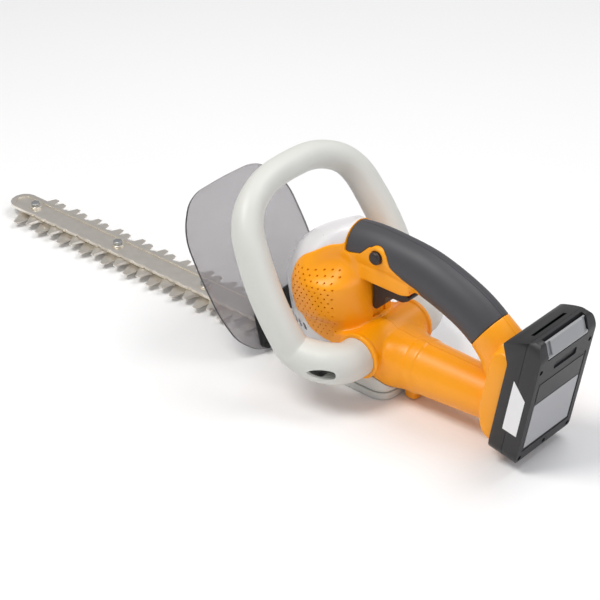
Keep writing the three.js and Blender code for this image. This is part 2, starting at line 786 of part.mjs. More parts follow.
const caseRearTop = 25;
const caseStepX = -52;
const yokeTravel = crankThrow + 1;
const yokeRim = 4;
const yokeRoom = yokeHalfLength + yokeRim + yokeTravel;
const bladeSlot = block(
  0, caseFront + 5, -barHalfWidth - slip, barHalfWidth + slip, lowerBladeZ - slip, barTop + slip,
);
const caseBody = join(
  roundedBlock(caseRear, caseFront, caseHalfWidth, trayHeight + gap, caseRearTop, 18, 8, 4, 18),
  roundedBlock(caseStepX, caseFront, caseHalfWidth, trayHeight + gap, caseTop, 8, 8, 3, 27),
);
const barScrewX = caseFront - 3.8;
const barScrewSeat = 27;
const baseScrewPlaces = [[-86, 18], [-86, -18], [25, 25], [25, -25]];
const motorPlateScrewPlaces = [[motorX - 15, 20.5], [motorX - 15, -20.5]];
const axleTop = gearZ + gearFace + 9;
const bearingRadius = 8;
const bearingHeight = 5;
const bearingZ = gearZ + gearFace + 1.6;
const gearRoom = gearRadius + gearModule + 1;
const gearCase = cut(
  caseBody,
  barAlongZ(0, 0, -1, gearZ + gearFace + 1, gearRoom, 40),
  barAlongZ(motorX, 0, -1, 60, pinionRadius + gearModule + 2, 24),
  block(-yokeRoom, yokeRoom, -yokeHalfWidth - yokeRim - 1, yokeHalfWidth + yokeRim + 1, -1, gearZ - 1.5),
  barAlongZ(0, 0, 0, bearingZ + bearingHeight + gap, bearingRadius + gap, 24),
  barAlongZ(0, 0, 0, axleTop + gap, axleRadius + gap, 16),
  bladeSlot,
  tubeSolid(-gap),
  barAlongY(crossX, crossZ, -60, 60, crossRadius + 1.3 + gap, 32),
  barAlongY(crossX, crossZ, crossHalfLength, 70, loopEndRadius + 1, 24),
  ...baseScrewPlaces.map(([x, y]) => barAlongZ(x, y, 0, 18, screwRadius + gap, 8)),
  ...motorPlateScrewPlaces.map(([x, y]) => barAlongZ(x, y, 23, 60, screwRadius + gap, 8)),
  barAlongZ(barScrewX, 0, 0, 60, screwRadius + gap, 8),
  barAlongZ(barScrewX, 0, barScrewSeat, 60, screwHeadRadius + gap, 10),
);
addPiece('gear_case', gearCase, 'lightGrey');

const plateFloor = 2.2;
const tray = roundedBlock(caseRear + 1.5, caseFront - 1.5, caseHalfWidth - 1.5, 0, trayHeight, 17, 7);
const trayHollow = roundedBlock(caseRear + 5, caseFront - 5, caseHalfWidth - 5, plateFloor, 20, 14, 4);
const plateScrewBosses = baseScrewPlaces.map(([x, y]) => barAlongZ(x, y, -1, 20, bossRadius, 16));
const bottomPlate = cut(
  tray,
  cut(trayHollow, ...plateScrewBosses),
  block(0, 60, -yokeHalfWidth - 3, yokeHalfWidth + 3, plateFloor, 20),
  ...baseScrewPlaces.map(([x, y]) => join(
    barAlongZ(x, y, -1, 20, screwRadius + gap, 8),
    barAlongZ(x, y, -1, screwHeadHeight + 0.5, screwHeadRadius + gap, 10),
  )),
  tubeSolid(-gap),
  plateFlat([[-117, -10], [-102, -10], [-102, 10], [-117, 10]], -1, 20, 4),
);
addPiece('bottom_plate', bottomPlate, 'lightGrey');

baseScrewPlaces.forEach(([x, y], i) => {
  const head = barAlongZ(x, y, 0.5, screwHeadHeight + 0.2, screwHeadRadius, 12);
  const shank = barAlongZ(x, y, screwHeadHeight, 14, screwRadius, 8);
  addPiece(`base_screw_${i + 1}`, join(head, shank), 'steel');
});

// ---------------------------------------------------------------- motor and crank drive

// A spur gear with straight-sided teeth.
function gear(x, teeth, z0, z1, firstAngle, bore) {
  const pitchRadius = gearModule * teeth / 2;
  const tip = pitchRadius + 0.8 * gearModule;
  const root = pitchRadius - 1.1 * gearModule;
  const step = 2 * Math.PI / teeth;
  const corners = [[-0.29, root], [-0.11, tip], [0.11, tip], [0.29, root]];
  const points = Array.from({ length: teeth }, (_, i) => corners.map(([share, radius]) => {
    const angle = firstAngle + (i + share) * step;
    return [x + radius * Math.cos(angle), radius * Math.sin(angle)];
  })).flat();
  return plateFlat(points, z0, z1).subtract(barAlongZ(x, 0, z0 - 1, z1 + 1, bore, 16));
}

const hubRadius = 5.5;
const driveGear = join(
  gear(0, gearTeeth, gearZ, gearZ + gearFace, 0, axleRadius + gap / 2),
  cut(
    barAlongZ(0, 0, upperBladeZ + bladeThickness + 0.2, gearZ + 0.1, hubRadius, 16),
    barAlongZ(0, 0, 0, gearZ + 1, axleRadius + gap / 2, 16),
  ),
);
addPiece('drive_gear', driveGear, 'darkSteel');

function cam(side, z0, z1) {
  const disc = barAlongZ(0, side * crankThrow, z0, z1, camRadius, 28);
  return disc.subtract(barAlongZ(0, 0, 0, 60, axleRadius + gap / 2, 16));
}

addPiece('upper_cam', cam(1, upperBladeZ, upperBladeZ + bladeThickness - 0.1), 'steel');
addPiece('lower_cam', cam(-1, lowerBladeZ, lowerBladeZ + bladeThickness), 'steel');
addPiece('crank_axle', barAlongZ(0, 0, plateFloor + gap, axleTop, axleRadius, 16), 'steel');

function washer(x, y, z0, z1, radius, bore) {
  return barAlongZ(x, y, z0, z1, radius, 24).subtract(barAlongZ(x, y, z0 - 1, z1 + 1, bore, 16));
}

const bearing = washer(0, 0, bearingZ, bearingZ + bearingHeight, bearingRadius, axleRadius + slip);
addPiece('crank_bearing', bearing, 'steel');
const shaftZ = gearZ - 0.5;
const fanZ = motorTop + 3;
const halfTooth = Math.PI / pinionTeeth;
const pinion = gear(motorX, pinionTeeth, gearZ, gearZ + gearFace + 2, halfTooth, shaftRadius + gap / 2);
addPiece('pinion', pinion, 'brass');
addPiece('motor_shaft', barAlongZ(motorX, 0, shaftZ, fanZ + 10, shaftRadius, 14), 'steel');

const motorCan = cut(
  join(
    barAlongZ(motorX, 0, motorZ, motorTop, motorRadius, 32),
    barAlongZ(motorX, 0, motorTop, motorTop + 2, 7, 20),
  ),
  barAlongZ(motorX, 0, motorZ - 1, motorTop + 5, shaftRadius + slip, 16),
  ...[-1, 1].map((side) => barAlongZ(motorX, 12.5 * side, motorZ - 1, motorZ + 6, screwRadius + gap, 8)),
);
addPiece('motor', motorCan, 'darkSteel');

const bladesOfFan = 9;
const fan = cut(
  join(
    barAlongZ(motorX, 0, fanZ, fanZ + 1.6, fanRadius, 32),
    barAlongZ(motorX, 0, fanZ, fanZ + 8, 5.5, 16),
    ...Array.from({ length: bladesOfFan }, (_, i) => {
      const vane = new THREE.BoxGeometry(fanRadius - 5, 1.2, 7);
      vane.translate((fanRadius + 5) / 2 - 0.5, 0, fanZ + 4.5);
      vane.rotateZ(2 * Math.PI * i / bladesOfFan);
      vane.translate(motorX, 0, 0);
      return toSolid(vane);
    }),
  ),
  barAlongZ(motorX, 0, fanZ - 1, fanZ + 20, shaftRadius + gap / 2, 16),
);
addPiece('cooling_fan', fan, 'black');

const motorPlate = cut(
  roundedBlock(motorX - 20, motorX + 21, 25, motorPlateZ, motorPlateZ + 3, 7),
  barAlongZ(motorX, 0, 0, 60, shaftRadius + 3, 20),
  ...[-1, 1].map((side) => barAlongZ(motorX, 12.5 * side, 0, 60, screwRadius + gap, 8)),
  ...motorPlateScrewPlaces.map(([x, y]) => barAlongZ(x, y, 0, 60, screwRadius + gap, 8)),
);
addPiece('motor_plate', motorPlate, 'aluminium');
motorPlateScrewPlaces.forEach(([x, y], i) => {
  const seat = motorPlateZ + 3 + gap;
  const head = barAlongZ(x, y, seat, seat + screwHeadHeight, screwHeadRadius, 12);
  addPiece(`plate_screw_${i + 1}`, join(head, barAlongZ(x, y, 25, seat + 1, screwRadius, 8)), 'steel');
});

// ---------------------------------------------------------------- blades, guide bar and bolts

const boltPlaces = Array.from({ length: boltCount }, (_, i) => lastBolt - i * boltPitch);

// A blade's outline: a yoke around its cam, a shank, and slanted teeth on both edges.
function bladeSolid(z, reach, shift) {
  const rootHalf = 8.6;
  const tipHalf = 2.4;
  const slant = -1.6;
  const start = firstTooth + shift - toothPitch / 2;
  const end = lastTooth + shift + toothPitch / 2 - 2;
  const left = [];
  for (let i = 0; i < toothCount; i += 1) {
    const x = firstTooth + shift + i * toothPitch;
    left.push([x - rootHalf, bladeSpine], [x - tipHalf + slant, reach], [x + tipHalf + slant, reach]);
    left.push([x + rootHalf, bladeSpine]);
  }
  const right = left.map(([x, y]) => [x, -y]).reverse();
  const outline = [
    [start, -bladeSpine], [start, bladeSpine], ...left, [end, bladeSpine - 3], [end, -bladeSpine + 3], ...right,
  ];
  const yokeOuter = yokeHalfWidth + yokeRim;
  const neckStart = yokeHalfLength + yokeRim;
  return cut(
    join(
      plateFlat(outline, z, z + bladeThickness),
      plateFlat([
        [-yokeHalfLength - yokeRim, -yokeOuter], [yokeHalfLength, -yokeOuter], [neckStart, -bladeSpine],
        [start + 1, -bladeSpine], [start + 1, bladeSpine], [neckStart, bladeSpine],
        [yokeHalfLength, yokeOuter], [-yokeHalfLength - yokeRim, yokeOuter],
      ], z, z + bladeThickness),
    ),
    plateFlat([
      [-yokeHalfLength, -yokeHalfWidth], [yokeHalfLength, -yokeHalfWidth], [yokeHalfLength, yokeHalfWidth],
      [-yokeHalfLength, yokeHalfWidth],
    ], z - 1, z + bladeThickness + 1, 4),
    ...boltPlaces.map((x) => {
      const half = crankThrow + boltRadius + slip;
      const side = boltRadius + slip;
      const slot = [[x - half, -side], [x + half, -side], [x + half, side], [x - half, side]];
      return plateFlat(slot, z - 1, z + 6, side);
    }),
  );
}

addPiece('lower_blade', bladeSolid(lowerBladeZ, longReach, 0), 'steel');
addPiece('upper_blade', bladeSolid(upperBladeZ, shortReach, -0.45 * toothPitch), 'steel');

const bossTop = barTop + 0.8;
const barRear = camRadius + crankThrow + 2.5;
const guideBar = cut(
  join(
    cut(
      join(
        block(barRear, barTip - barHalfWidth, -barHalfWidth, barHalfWidth, barZ, barTop),
        barAlongZ(barTip - barHalfWidth, 0, barZ, barTop, barHalfWidth, 32),
      ),
      plateFlat([
        [caseFront + 4, -8.5], [barTip - 9, -8.5], [barTip - 4, 0], [barTip - 9, 8.5], [caseFront + 4, 8.5],
      ], barTop - 1.3, barTop + 1, 2),
    ),
    ...boltPlaces.map((x) => barAlongZ(x, 0, barTop - 1.5, bossTop, 6.4, 20)),
  ),
  ...boltPlaces.map((x) => barAlongZ(x, 0, 0, 30, boltRadius + gap, 16)),
  barAlongZ(barScrewX, 0, 0, 60, screwRadius + gap, 8),
);
addPiece('guide_bar', guideBar, 'steel');

const barScrew = join(
  barAlongZ(barScrewX, 0, barScrewSeat + gap, barScrewSeat + gap + screwHeadHeight, screwHeadRadius, 12),
  barAlongZ(barScrewX, 0, barZ + gap, barScrewSeat + 1, screwRadius, 8),
);
addPiece('bar_screw', barScrew, 'steel');

boltPlaces.forEach((x, i) => {
  const seat = bossTop + gap;
  const nutTop = lowerBladeZ - gap;
  const bolt = join(
    barAlongZ(x, 0, seat, seat + 2.6, 4.6, 6),
    barAlongZ(x, 0, 1.2, seat + 1, boltRadius, 14),
  );
  addPiece(`blade_bolt_${i + 1}`, bolt, 'steel');
  addPiece(`blade_nut_${i + 1}`, barAlongZ(x, 0, 1, nutTop, 4.6, 6).subtract(
    barAlongZ(x, 0, 0, 10, boltRadius + gap / 2, 14),
  ), 'steel');
});

// ---------------------------------------------------------------- hand shield

const shieldFrame = leaningFrame(shieldFootX, 0);

function shieldOutline() {
  const w = shieldHalfWidth;
  const h = shieldHeight;
  const corners = [
    [19, 2], [29, 2], [43, 7], [w - 9, 23], [w - 2, 50], [w, 85], [w - 1, h - 38], [w - 7, h - 22],
    [w - 20, h - 6], [w - 34, h], [0, h + 1],
  ];
  const mirrored = corners.slice(0, -1).reverse().map(([y, s]) => [-y, s]);
  return [...corners, ...mirrored, [-19, 20], [19, 20]];
}

function onShield(points, back, front, radius) {
  const geometry = extrude(softShape(points, radius), front - back, 3);
  geometry.translate(0, 0, back);
  geometry.applyMatrix4(shieldFrame);
  return toSolid(geometry);
}

const shieldScrewPlaces = [[27, 26], [-27, 26]];

function shieldRod(y, s, back, front, radius, sides = 14) {
  const geometry = new THREE.CylinderGeometry(radius, radius, front - back, sides);
  geometry.rotateX(Math.PI / 2);
  geometry.translate(y, s, (front + back) / 2);
  geometry.applyMatrix4(shieldFrame);
  return toSolid(geometry);
}

const shieldPane = cut(
  onShield(shieldOutline(), 0, shieldThickness, 9),
  ...shieldScrewPlaces.map(([y, s]) => shieldRod(y, s, -2, 10, screwRadius + gap)),
);
addPiece('shield', shieldPane, 'clear');

const bracketPoints = [
  [24, -3], [39, 8], [32, 36], [22, 44], [-22, 44], [-32, 36], [-39, 8], [-24, -3], [-17, -3], [-17, 24],
  [17, 24], [17, -3],
];
const bracketPlate = onShield(bracketPoints, -6, -0.8 - gap, 3);
const bracketNose = block(caseFront + gap, caseFront + 16, -26, 26, 21, caseTop - 2).intersect(
  onShield([[-40, -10], [40, -10], [40, 60], [-40, 60]], -60, -3, 0),
);
const bracket = cut(
  join(bracketPlate, bracketNose),
  block(-200, caseFront + gap, -60, 60, -5, caseTop + 2),
  podSolid(-gap),
  block(0, 200, -60, 60, -30, 0.6),
  ...shieldScrewPlaces.map(([y, s]) => shieldRod(y, s, -5, 10, screwRadius + gap)),
);
addPiece('shield_bracket', bracket, 'black');
[['left', 0], ['right', 1]].forEach(([name, i]) => {
  const [y, s] = shieldScrewPlaces[i];
  const seat = shieldThickness + gap;
  const head = shieldRod(y, s, seat, seat + screwHeadHeight, screwHeadRadius);
  const shank = shieldRod(y, s, -4.4, seat + 1, screwRadius, 8);
  addPiece(`shield_screw_${name}`, join(head, shank), 'steel');
});

// ---------------------------------------------------------------- battery pack, in its own frame

const packHalf = packWidth / 2;
const packTop = packHeight;
const packFront = -gap;
const packSplitX = -14;

function packProfile(inset) {
  const rear = -packThickness + inset;
  const front = packFront - inset;
  return [
    [rear, 7], [-26 + inset, 2 + inset], [-4 - inset, 2 + inset], [front, 6 + inset], [front, packTop - 34],
    [3 - inset, packTop - 27], [8 - inset, packTop - 16.5 - inset], [4 - inset, packTop - 13.5 - inset],
    [-20, packTop - 1 - inset], [-24 + inset, packTop - 2 - inset], [rear, packTop - 14],
  ];
}

function packBlock(inset) {
  const profile = plateAcross(packProfile(inset), -packHalf + inset, packHalf - inset, 2.5);
  const face = extrude(softShape([
    [-packHalf + inset, 2 + inset], [packHalf - inset, 2 + inset], [packHalf - inset, packTop - inset],
    [-packHalf + inset, packTop - inset],
  ], 8), 80);
  face.rotateX(Math.PI / 2);
  face.rotateZ(Math.PI / 2);
  face.translate(-60, 0, 0);
  return profile.intersect(toSolid(face));
}

const rail = join(
  block(packFront - 1, railDepth / 2 + gap, -railHalfWidth + 5, railHalfWidth - 5, 30 + slip, packTop - 40),
  block(railDepth / 2 + gap, railDepth, -railHalfWidth, railHalfWidth, 30 + slip, packTop - 40),
);
const neckClear = cut(
  toSolid(toGeometry(join(neckSolid(-slip), footSolid(-slip), handleSolid(-slip))).applyMatrix4(
    packGroup.matrixWorld.clone().invert(),
  )),
  block(-200, packFront + 0.2, -100, 100, -100, 300),
);
const terminalSlots = [-1, 1].map((side) => block(
  0.6, railDepth - 0.8, side * terminalY - 1, side * terminalY + 1, 20, 46,
));
const packShell = cut(packBlock(0), packBlock(packWall), neckClear);
const latchRecess = plateAcross([
  [-40, packTop - 17], [-24.2, packTop - 17], [-16.8, packTop + 3], [-40, packTop + 3],
], -27, 27, 0);
const latchHousing = cut(
  plateAcross([
    [-40, packTop - 19.4], [-21.8, packTop - 19.4], [-14.4, packTop + 3], [-40, packTop + 3],
  ], -29.5, 29.5, 0).intersect(packBlock(0)),
  latchRecess,
);
const frontShell = cut(
  join(packShell.intersect(block(packSplitX + gap / 2, 60, -100, 100, -10, 200)), rail),
  ...terminalSlots,
);
const rearShell = cut(
  join(
    cut(packShell.intersect(block(-60, packSplitX - gap / 2, -100, 100, -10, 200)), latchRecess),
    latchHousing.intersect(block(-60, packSplitX - gap / 2, -100, 100, -10, 200)),
  ),
);
addPiece('pack_front_shell', frontShell, 'black', packGroup);
addPiece('pack_rear_shell', rearShell, 'packGrey', packGroup);
const latchBar = plateAcross([
  [-29.6, packTop - 16], [-27.2, packTop - 16], [-21.2, packTop - 2.6], [-24, packTop - 2.2],
  [-29.4, packTop - 13.6],
], -26.4, 26.4, 1);
addPiece('latch_bar', latchBar, 'latchGrey', packGroup);

const cellX = -(packThickness / 2) - 0.6;
const cellBottom = 6;
const cells = Array.from({ length: cellCount }, (_, i) => {
  const z = cellBottom + cellPitch * (i + 0.5);
  return barAlongY(cellX, z, -cellLength / 2, cellLength / 2, cellRadius, 20);
});
const cellStack = cellPitch * (cellCount - 1);
const cellBridge = block(
  cellX - 3, cellX + 3, -cellLength / 2 + 4, cellLength / 2 - 4, cellBottom + cellPitch / 2,
  cellBottom + cellPitch / 2 + cellStack,
);
addPiece('cell_block', join(cellBridge, ...cells), 'cellGreen', packGroup);
const boardZ = cellBottom + cellPitch * cellCount + 1.5;
addPiece('pack_board', block(-22, -6, -30, 30, boardZ, boardZ + 1.6), 'boardGreen', packGroup);

addPiece('terminal_block', block(0, railDepth + 1, -14, 14, 17, 29.3).subtract(
  join(...[-1, 1].map((side) => block(1.2, 5, side * terminalY - 0.7, side * terminalY + 0.7, 21, 40))),
), 'black', packGroup);
[['positive', 1], ['negative', -1]].forEach(([name, side]) => {
  const blade = block(1.5, 4.7, side * terminalY - 0.4, side * terminalY + 0.4, 21 + gap, 42);
  addPiece(`${name}_terminal`, blade, 'copper', packGroup);
});

// ---------------------------------------------------------------- leads inside the housing

const leadRadius = 1.5;
const switchLeadRoute = [
  [-205, 8, 36], [-208.5, 8, 56], [-211, 8, 72], [-210.5, 7, 83], [-204, 6, 93], [-192, 5, 99.5],
  [-170, 4, 109],
  [-145, 3, 118.5], [-115, 2, 126.5],
];
const motorLeadRoute = [
  [-205, -8, 34], [-190, -7, 34], [-160, -7, 38], [-125, -6, 38], [-104, -6, 41], [-88, -6, 45],
  [-66, -6, 45],
  [-58, -6, 50], [-55, -6, 62],
];

function lead(route) {
  return rope(route.map(([x, y, z]) => new THREE.Vector3(x, y, z)), leadRadius, 2 * route.length, 6);
}

addPiece('switch_lead', lead(switchLeadRoute), 'redLead');
addPiece('motor_lead', lead(motorLeadRoute), 'blackLead');

export default model;
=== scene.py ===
"""Builds the looks of the cordless hedge trimmer around its CAD frame."""
import json
import math

import bpy
from mathutils import Matrix, Vector


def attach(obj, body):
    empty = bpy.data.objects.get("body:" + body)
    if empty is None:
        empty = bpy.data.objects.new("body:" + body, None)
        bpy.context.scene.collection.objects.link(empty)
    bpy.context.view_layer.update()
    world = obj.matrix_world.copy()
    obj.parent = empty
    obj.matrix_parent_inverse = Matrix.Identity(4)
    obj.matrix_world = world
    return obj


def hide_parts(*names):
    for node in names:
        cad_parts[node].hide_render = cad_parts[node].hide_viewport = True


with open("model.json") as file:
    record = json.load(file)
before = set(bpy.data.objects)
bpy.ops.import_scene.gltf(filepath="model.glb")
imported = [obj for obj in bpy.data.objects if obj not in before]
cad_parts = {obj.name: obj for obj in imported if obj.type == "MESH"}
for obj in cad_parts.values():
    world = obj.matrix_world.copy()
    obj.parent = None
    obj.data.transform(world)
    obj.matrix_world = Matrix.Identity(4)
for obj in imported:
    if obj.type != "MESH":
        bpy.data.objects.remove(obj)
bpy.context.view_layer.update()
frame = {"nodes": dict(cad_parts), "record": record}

bl_info = {
    "name": "Cordless hedge trimmer",
    "version": (1, 0, 0),
    "blender": (4, 5, 0),
    "location": "View3D > Sidebar > Trimmer",
    "description": "Models and finishes a cordless hedge trimmer around its CAD frame",
    "category": "Object",
}

MM = 0.001
ALONG_X = Vector((1, 0, 0))
ALONG_Y = Vector((0, 1, 0))
ALONG_Z = Vector((0, 0, 1))

# ---------------------------------------------------------------- sizes, all in millimetres

GAP = 0.3  # between pieces that touch
WALL = 2.6  # moulded wall
CASE_TOP = 33.0
CROSS_X = -76.0
CROSS_Z = 44.0
CROSS_RADIUS = 19.7
CROSS_HALF = 38.0
COVER_EDGE = -44.8
GRIP_FRONT = -46.3
GRIP_HALF = (18.4, 21.0)
GRIP_THICK = 2.8
LEAN = math.radians(30)
PACK_TILT = math.radians(10.8)
PACK_PLACE = Matrix.Translation((-212.8, 0, 9)) @ Matrix.Rotation(-PACK_TILT, 4, "Y")
LOCK_X = -80.0
LOCK_Z = 134.0
TRIGGER_X = -73.0
TRIGGER_Z = 103.0
SCREW_HOLE = 1.9
SCREW_HEAD_WELL = 3.6
LOOP_SCREW_HOLE = 2.9
BASE_SCREWS = ((-86, 18), (-86, -18), (25, 25), (25, -25))
BAR_SCREW_X = 28.2
HOUSING_SCREWS = ((-60, 119), (-59, 74), (-104, 22), (-160, 27), (-201, 77))
SPINE = ((-42, 127.5), (-66, 130.5), (-92, 130), (-121, 127), (-149, 118.5), (-172, 108), (-191, 94.5))
# Rings of the pod: share of its height, how far forward and back of its ends, share of its half width.
POD_ROWS = (
    (0, 24, -68, 0.8), (0.25, 27, -68, 0.93), (0.42, 27, -66, 1), (0.54, 23, -64, 1.02),
    (0.68, 14, -60, 0.96), (0.78, 3, -56, 0.86), (0.88, -14, -53, 0.68), (0.95, -29, -53, 0.5),
    (1, -43, -55, 0.3),
)
POD_TOP = 149.0
POD_HALF = 41.0
NOSE_TAPER = 0.36
PANEL_PROUD = 1.4
# Where the front cover meets the side panels, in x and z.
PANEL_EDGE = (
    (-44.8, 170), (-45.8, 134), (-32, 131), (-13, 119), (-7, 109), (-6, 91), (-11, 68), (-22, 50), (-37, 43),
    (-52, 41), (-54, 20),
)
# Rows of vents in each side panel, counted down from the top one.
VENT_ROWS = 15
VENT_THROUGH_ROWS = 8
VENT_TOP = 111.0
VENT_ROW_STEP = 4.3
# The line under which the handle's front is housing and not grip, in x and z.
GRIP_EDGE = (
    (-50, 128), (-62, 131), (-70, 139.5), (-80, 142.5), (-89, 138.5), (-94, 129), (-108, 121.5), (-122, 117),
    (-126, 100),
)
TOOTH_PITCH = 30.0
TOOTH_COUNT = 11
FIRST_TOOTH = 68.0
LAST_BOLT = 367.0
BOLT_PITCH = 114.0
BOLT_PLACES = (LAST_BOLT, LAST_BOLT - BOLT_PITCH, LAST_BOLT - 2 * BOLT_PITCH)
BLADE_THICK = 2.2
BLADE_HALF = 11.0
BAR_Z = 9.2
BAR_TOP = 12.2
BAR_HALF = 13.5
BAR_TIP = 396.5
PACK_HALF = 37.4
PACK_TOP = 129.0
PACK_THICK = 29.5


# ---------------------------------------------------------------- shared modelling steps

def only(obj):
    """Selects one object and makes it active."""
    for other in bpy.context.selected_objects:
        other.select_set(False)
    obj.select_set(True)
    bpy.context.view_layer.objects.active = obj


def edit(obj, step):
    """Runs a step on the whole mesh in edit mode."""
    only(obj)
    bpy.ops.object.mode_set(mode="EDIT")
    bpy.ops.mesh.select_all(action="SELECT")
    step()
    bpy.ops.object.mode_set(mode="OBJECT")


def face_outward(obj):
    edit(obj, lambda: bpy.ops.mesh.normals_make_consistent(inside=False))


def mesh_object(name, points, faces):
    """An object at the origin from points in millimetres."""
    data = bpy.data.meshes.new(name)
    data.from_pydata([tuple(p * MM) for p in points], [], faces)
    data.update()
    obj = bpy.data.objects.new(name, data)
    bpy.context.scene.collection.objects.link(obj)
    return obj


def modify(obj, kind, **settings):
    """Adds a modifier with its settings and applies it."""
    only(obj)
    modifier = obj.modifiers.new(kind.title(), kind)
    for key, value in settings.items():
        setattr(modifier, key, value)
    bpy.ops.object.modifier_apply(modifier=modifier.name)
    return obj


def combine(obj, tool, operation):
    """A boolean with another object, which is then removed."""
    modify(obj, "BOOLEAN", object=tool, operation=operation, solver="MANIFOLD")
    bpy.data.meshes.remove(tool.data)
    return obj


def joined(obj, *others):
    for other in others:
        combine(obj, other, "UNION")
    return obj


def cut(obj, *others):
    for other in others:
        combine(obj, other, "DIFFERENCE")
    return obj


def kept_in(obj, other):
    return combine(obj, other, "INTERSECT")


def copied(obj, name):
    twin = obj.copy()
    twin.data = obj.data.copy()
    twin.name = name
    bpy.context.scene.collection.objects.link(twin)
    return twin


def softened(obj, voxel, rounds):
    """Fuses a solid into one skin of even quads and eases its edges into fillets."""
    modify(obj, "REMESH", mode="VOXEL", voxel_size=voxel * MM)
    if rounds:
        modify(obj, "SMOOTH", factor=0.5, iterations=rounds)
    return obj


def bevelled(obj, width, segments=3, angle=30):
    return modify(
        obj, "BEVEL", width=width * MM, segments=segments, limit_method="ANGLE",
        angle_limit=math.radians(angle), use_clamp_overlap=True,
    )


def finished(obj, name, body, slot, replaced=(), smooth=35):
    """Names a piece, merges doubled points, turns its skin outward, shades it and sets it on its body."""
    obj.name = name
    obj.data.name = name
    edit(obj, lambda: bpy.ops.mesh.remove_doubles(threshold=0.00001))
    face_outward(obj)
    only(obj)
    bpy.ops.object.shade_smooth_by_angle(angle=math.radians(smooth))
    obj.data.materials.clear()
    obj.data.materials.append(material(slot))
    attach(obj, body)
    if replaced:
        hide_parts(*replaced)
    return obj


# ---------------------------------------------------------------- shared shapes

def box(x0, x1, y0, y1, z0, z1):
    bpy.ops.mesh.primitive_cube_add(size=1, location=(0, 0, 0))
    obj = bpy.context.active_object
    size = Vector((x1 - x0, y1 - y0, z1 - z0)) * MM
    centre = Vector((x1 + x0, y1 + y0, z1 + z0)) * MM / 2
    obj.data.transform(Matrix.Translation(centre) @ Matrix.Diagonal((*size, 1)))
    return obj


def bar(start, end, radius, sides=48):
    """A round bar between two points."""
    start = Vector(start)
    end = Vector(end)
    axis = end - start
    bpy.ops.mesh.primitive_cone_add(
        vertices=sides, radius1=radius * MM, radius2=radius * MM, depth=axis.length * MM, location=(0, 0, 0),
    )
    obj = bpy.context.active_object
    turn = axis.to_track_quat("Z", "Y").to_matrix().to_4x4()
    obj.data.transform(Matrix.Translation((start + end) * MM / 2) @ turn)
    return obj


def bar_y(x, z, y0, y1, radius, sides=48):
    return bar((x, y0, z), (x, y1, z), radius, sides)


def bar_z(x, y, z0, z1, radius, sides=48):
    return bar((x, y, z0), (x, y, z1), radius, sides)


def soft_outline(corners, radius, steps=6):
    """A closed outline with its corners rounded; a corner's third number is its own radius."""
    points = []
    count = len(corners)
    for i, corner in enumerate(corners):
        own = corner[2] if len(corner) > 2 else radius
        here = Vector(corner[:2])
        before = Vector(corners[i - 1][:2])
        after = Vector(corners[(i + 1) % count][:2])
        reach = min(own, (before - here).length * 0.49, (after - here).length * 0.49)
        if reach <= 0:
            points.append(here)
            continue
        start = here + (before - here).normalized() * reach
        end = here + (after - here).normalized() * reach
        for k in range(steps + 1):
            t = k / steps
            points.append(start * (1 - t) ** 2 + here * (2 * t * (1 - t)) + end * t * t)
    return points


def prism(outline, place, low, high, radius=0, steps=6):
    """A plate: an outline's face extruded between two heights of a placing function."""
    corners = soft_outline(outline, radius, steps)
    obj = mesh_object("Plate", [place(p.x, p.y, low) for p in corners], [list(range(len(corners)))])
    rise = (place(0, 0, high) - place(0, 0, low)) * MM
    edit(obj, lambda: bpy.ops.mesh.extrude_region_move(TRANSFORM_OT_translate={"value": rise}))
    face_outward(obj)
    return obj


def across(a, b, h):
    return Vector((a, h, b))


def flat(a, b, h):
    return Vector((a, b, h))


def leaning(foot_x, foot_z):
    """Places on a leaning plane: first number to the left, second up the slope, third forward and down."""
    up = Vector((math.sin(LEAN), 0, math.cos(LEAN)))
    out = ALONG_Y.cross(up)
    foot = Vector((foot_x, 0, foot_z))
    return lambda a, b, h: foot + ALONG_Y * a + up * b + out * h


def in_pack(a, b, h):
    """Places in the battery pack's own frame from x, z and y."""
    return PACK_PLACE @ Vector((a, h, b))


def on_pack_back(a, b, h):
    """Places on the pack's back face: to the left, up, and back from the slide face."""
    return PACK_PLACE @ Vector((-h, a, b))


def ring(centre, side, up, half_side, half_up, power=2.0, sides=64):
    points = []
    for i in range(sides):
        angle = 2 * math.pi * (i + 0.5) / sides
        c = math.cos(angle)
        s = math.sin(angle)
        points.append(
            centre
            + side * (math.copysign(abs(c) ** (2 / power), c) * half_side)
            + up * (math.copysign(abs(s) ** (2 / power), s) * half_up)
        )
    return points


def loft(rings):
    """A closed skin over rings of equally many points."""
    sides = len(rings[0])
    faces = []
    for k in range(len(rings) - 1):
        low = k * sides
        for i in range(sides):
            j = (i + 1) % sides
            faces.append((low + i, low + j, low + sides + j, low + sides + i))
    faces.append(list(range(sides)))
    faces.append(list(range((len(rings) - 1) * sides, len(rings) * sides)))
    obj = mesh_object("Skin", [p for points in rings for p in points], faces)
    face_outward(obj)
    return obj


def between(p, q, r, s, t):
    """A smooth curve's value at share t of the way from q to r, with p before them and s after."""
    square = (2 * p - 5 * q + 4 * r - s) * t * t
    cube = (3 * q - p - 3 * r + s) * t ** 3
    return 0.5 * (2 * q + (r - p) * t + square + cube)


def spread(rows, steps):
    """Rows of numbers with smooth rows set between them."""
    result = []
    count = len(rows)
    for i in range(count - 1):
        a = rows[max(i - 1, 0)]
        b = rows[i]
        c = rows[i + 1]
        d = rows[min(i + 2, count - 1)]
        for k in range(steps):
            t = k / steps
            result.append([between(*numbers, t) for numbers in zip(a, b, c, d)])
    result.append(list(rows[-1]))
    return result


def ease(value, start, end):
    share = min(1.0, max(0.0, (value - start) / (end - start)))
    return share * share * (3 - 2 * share)


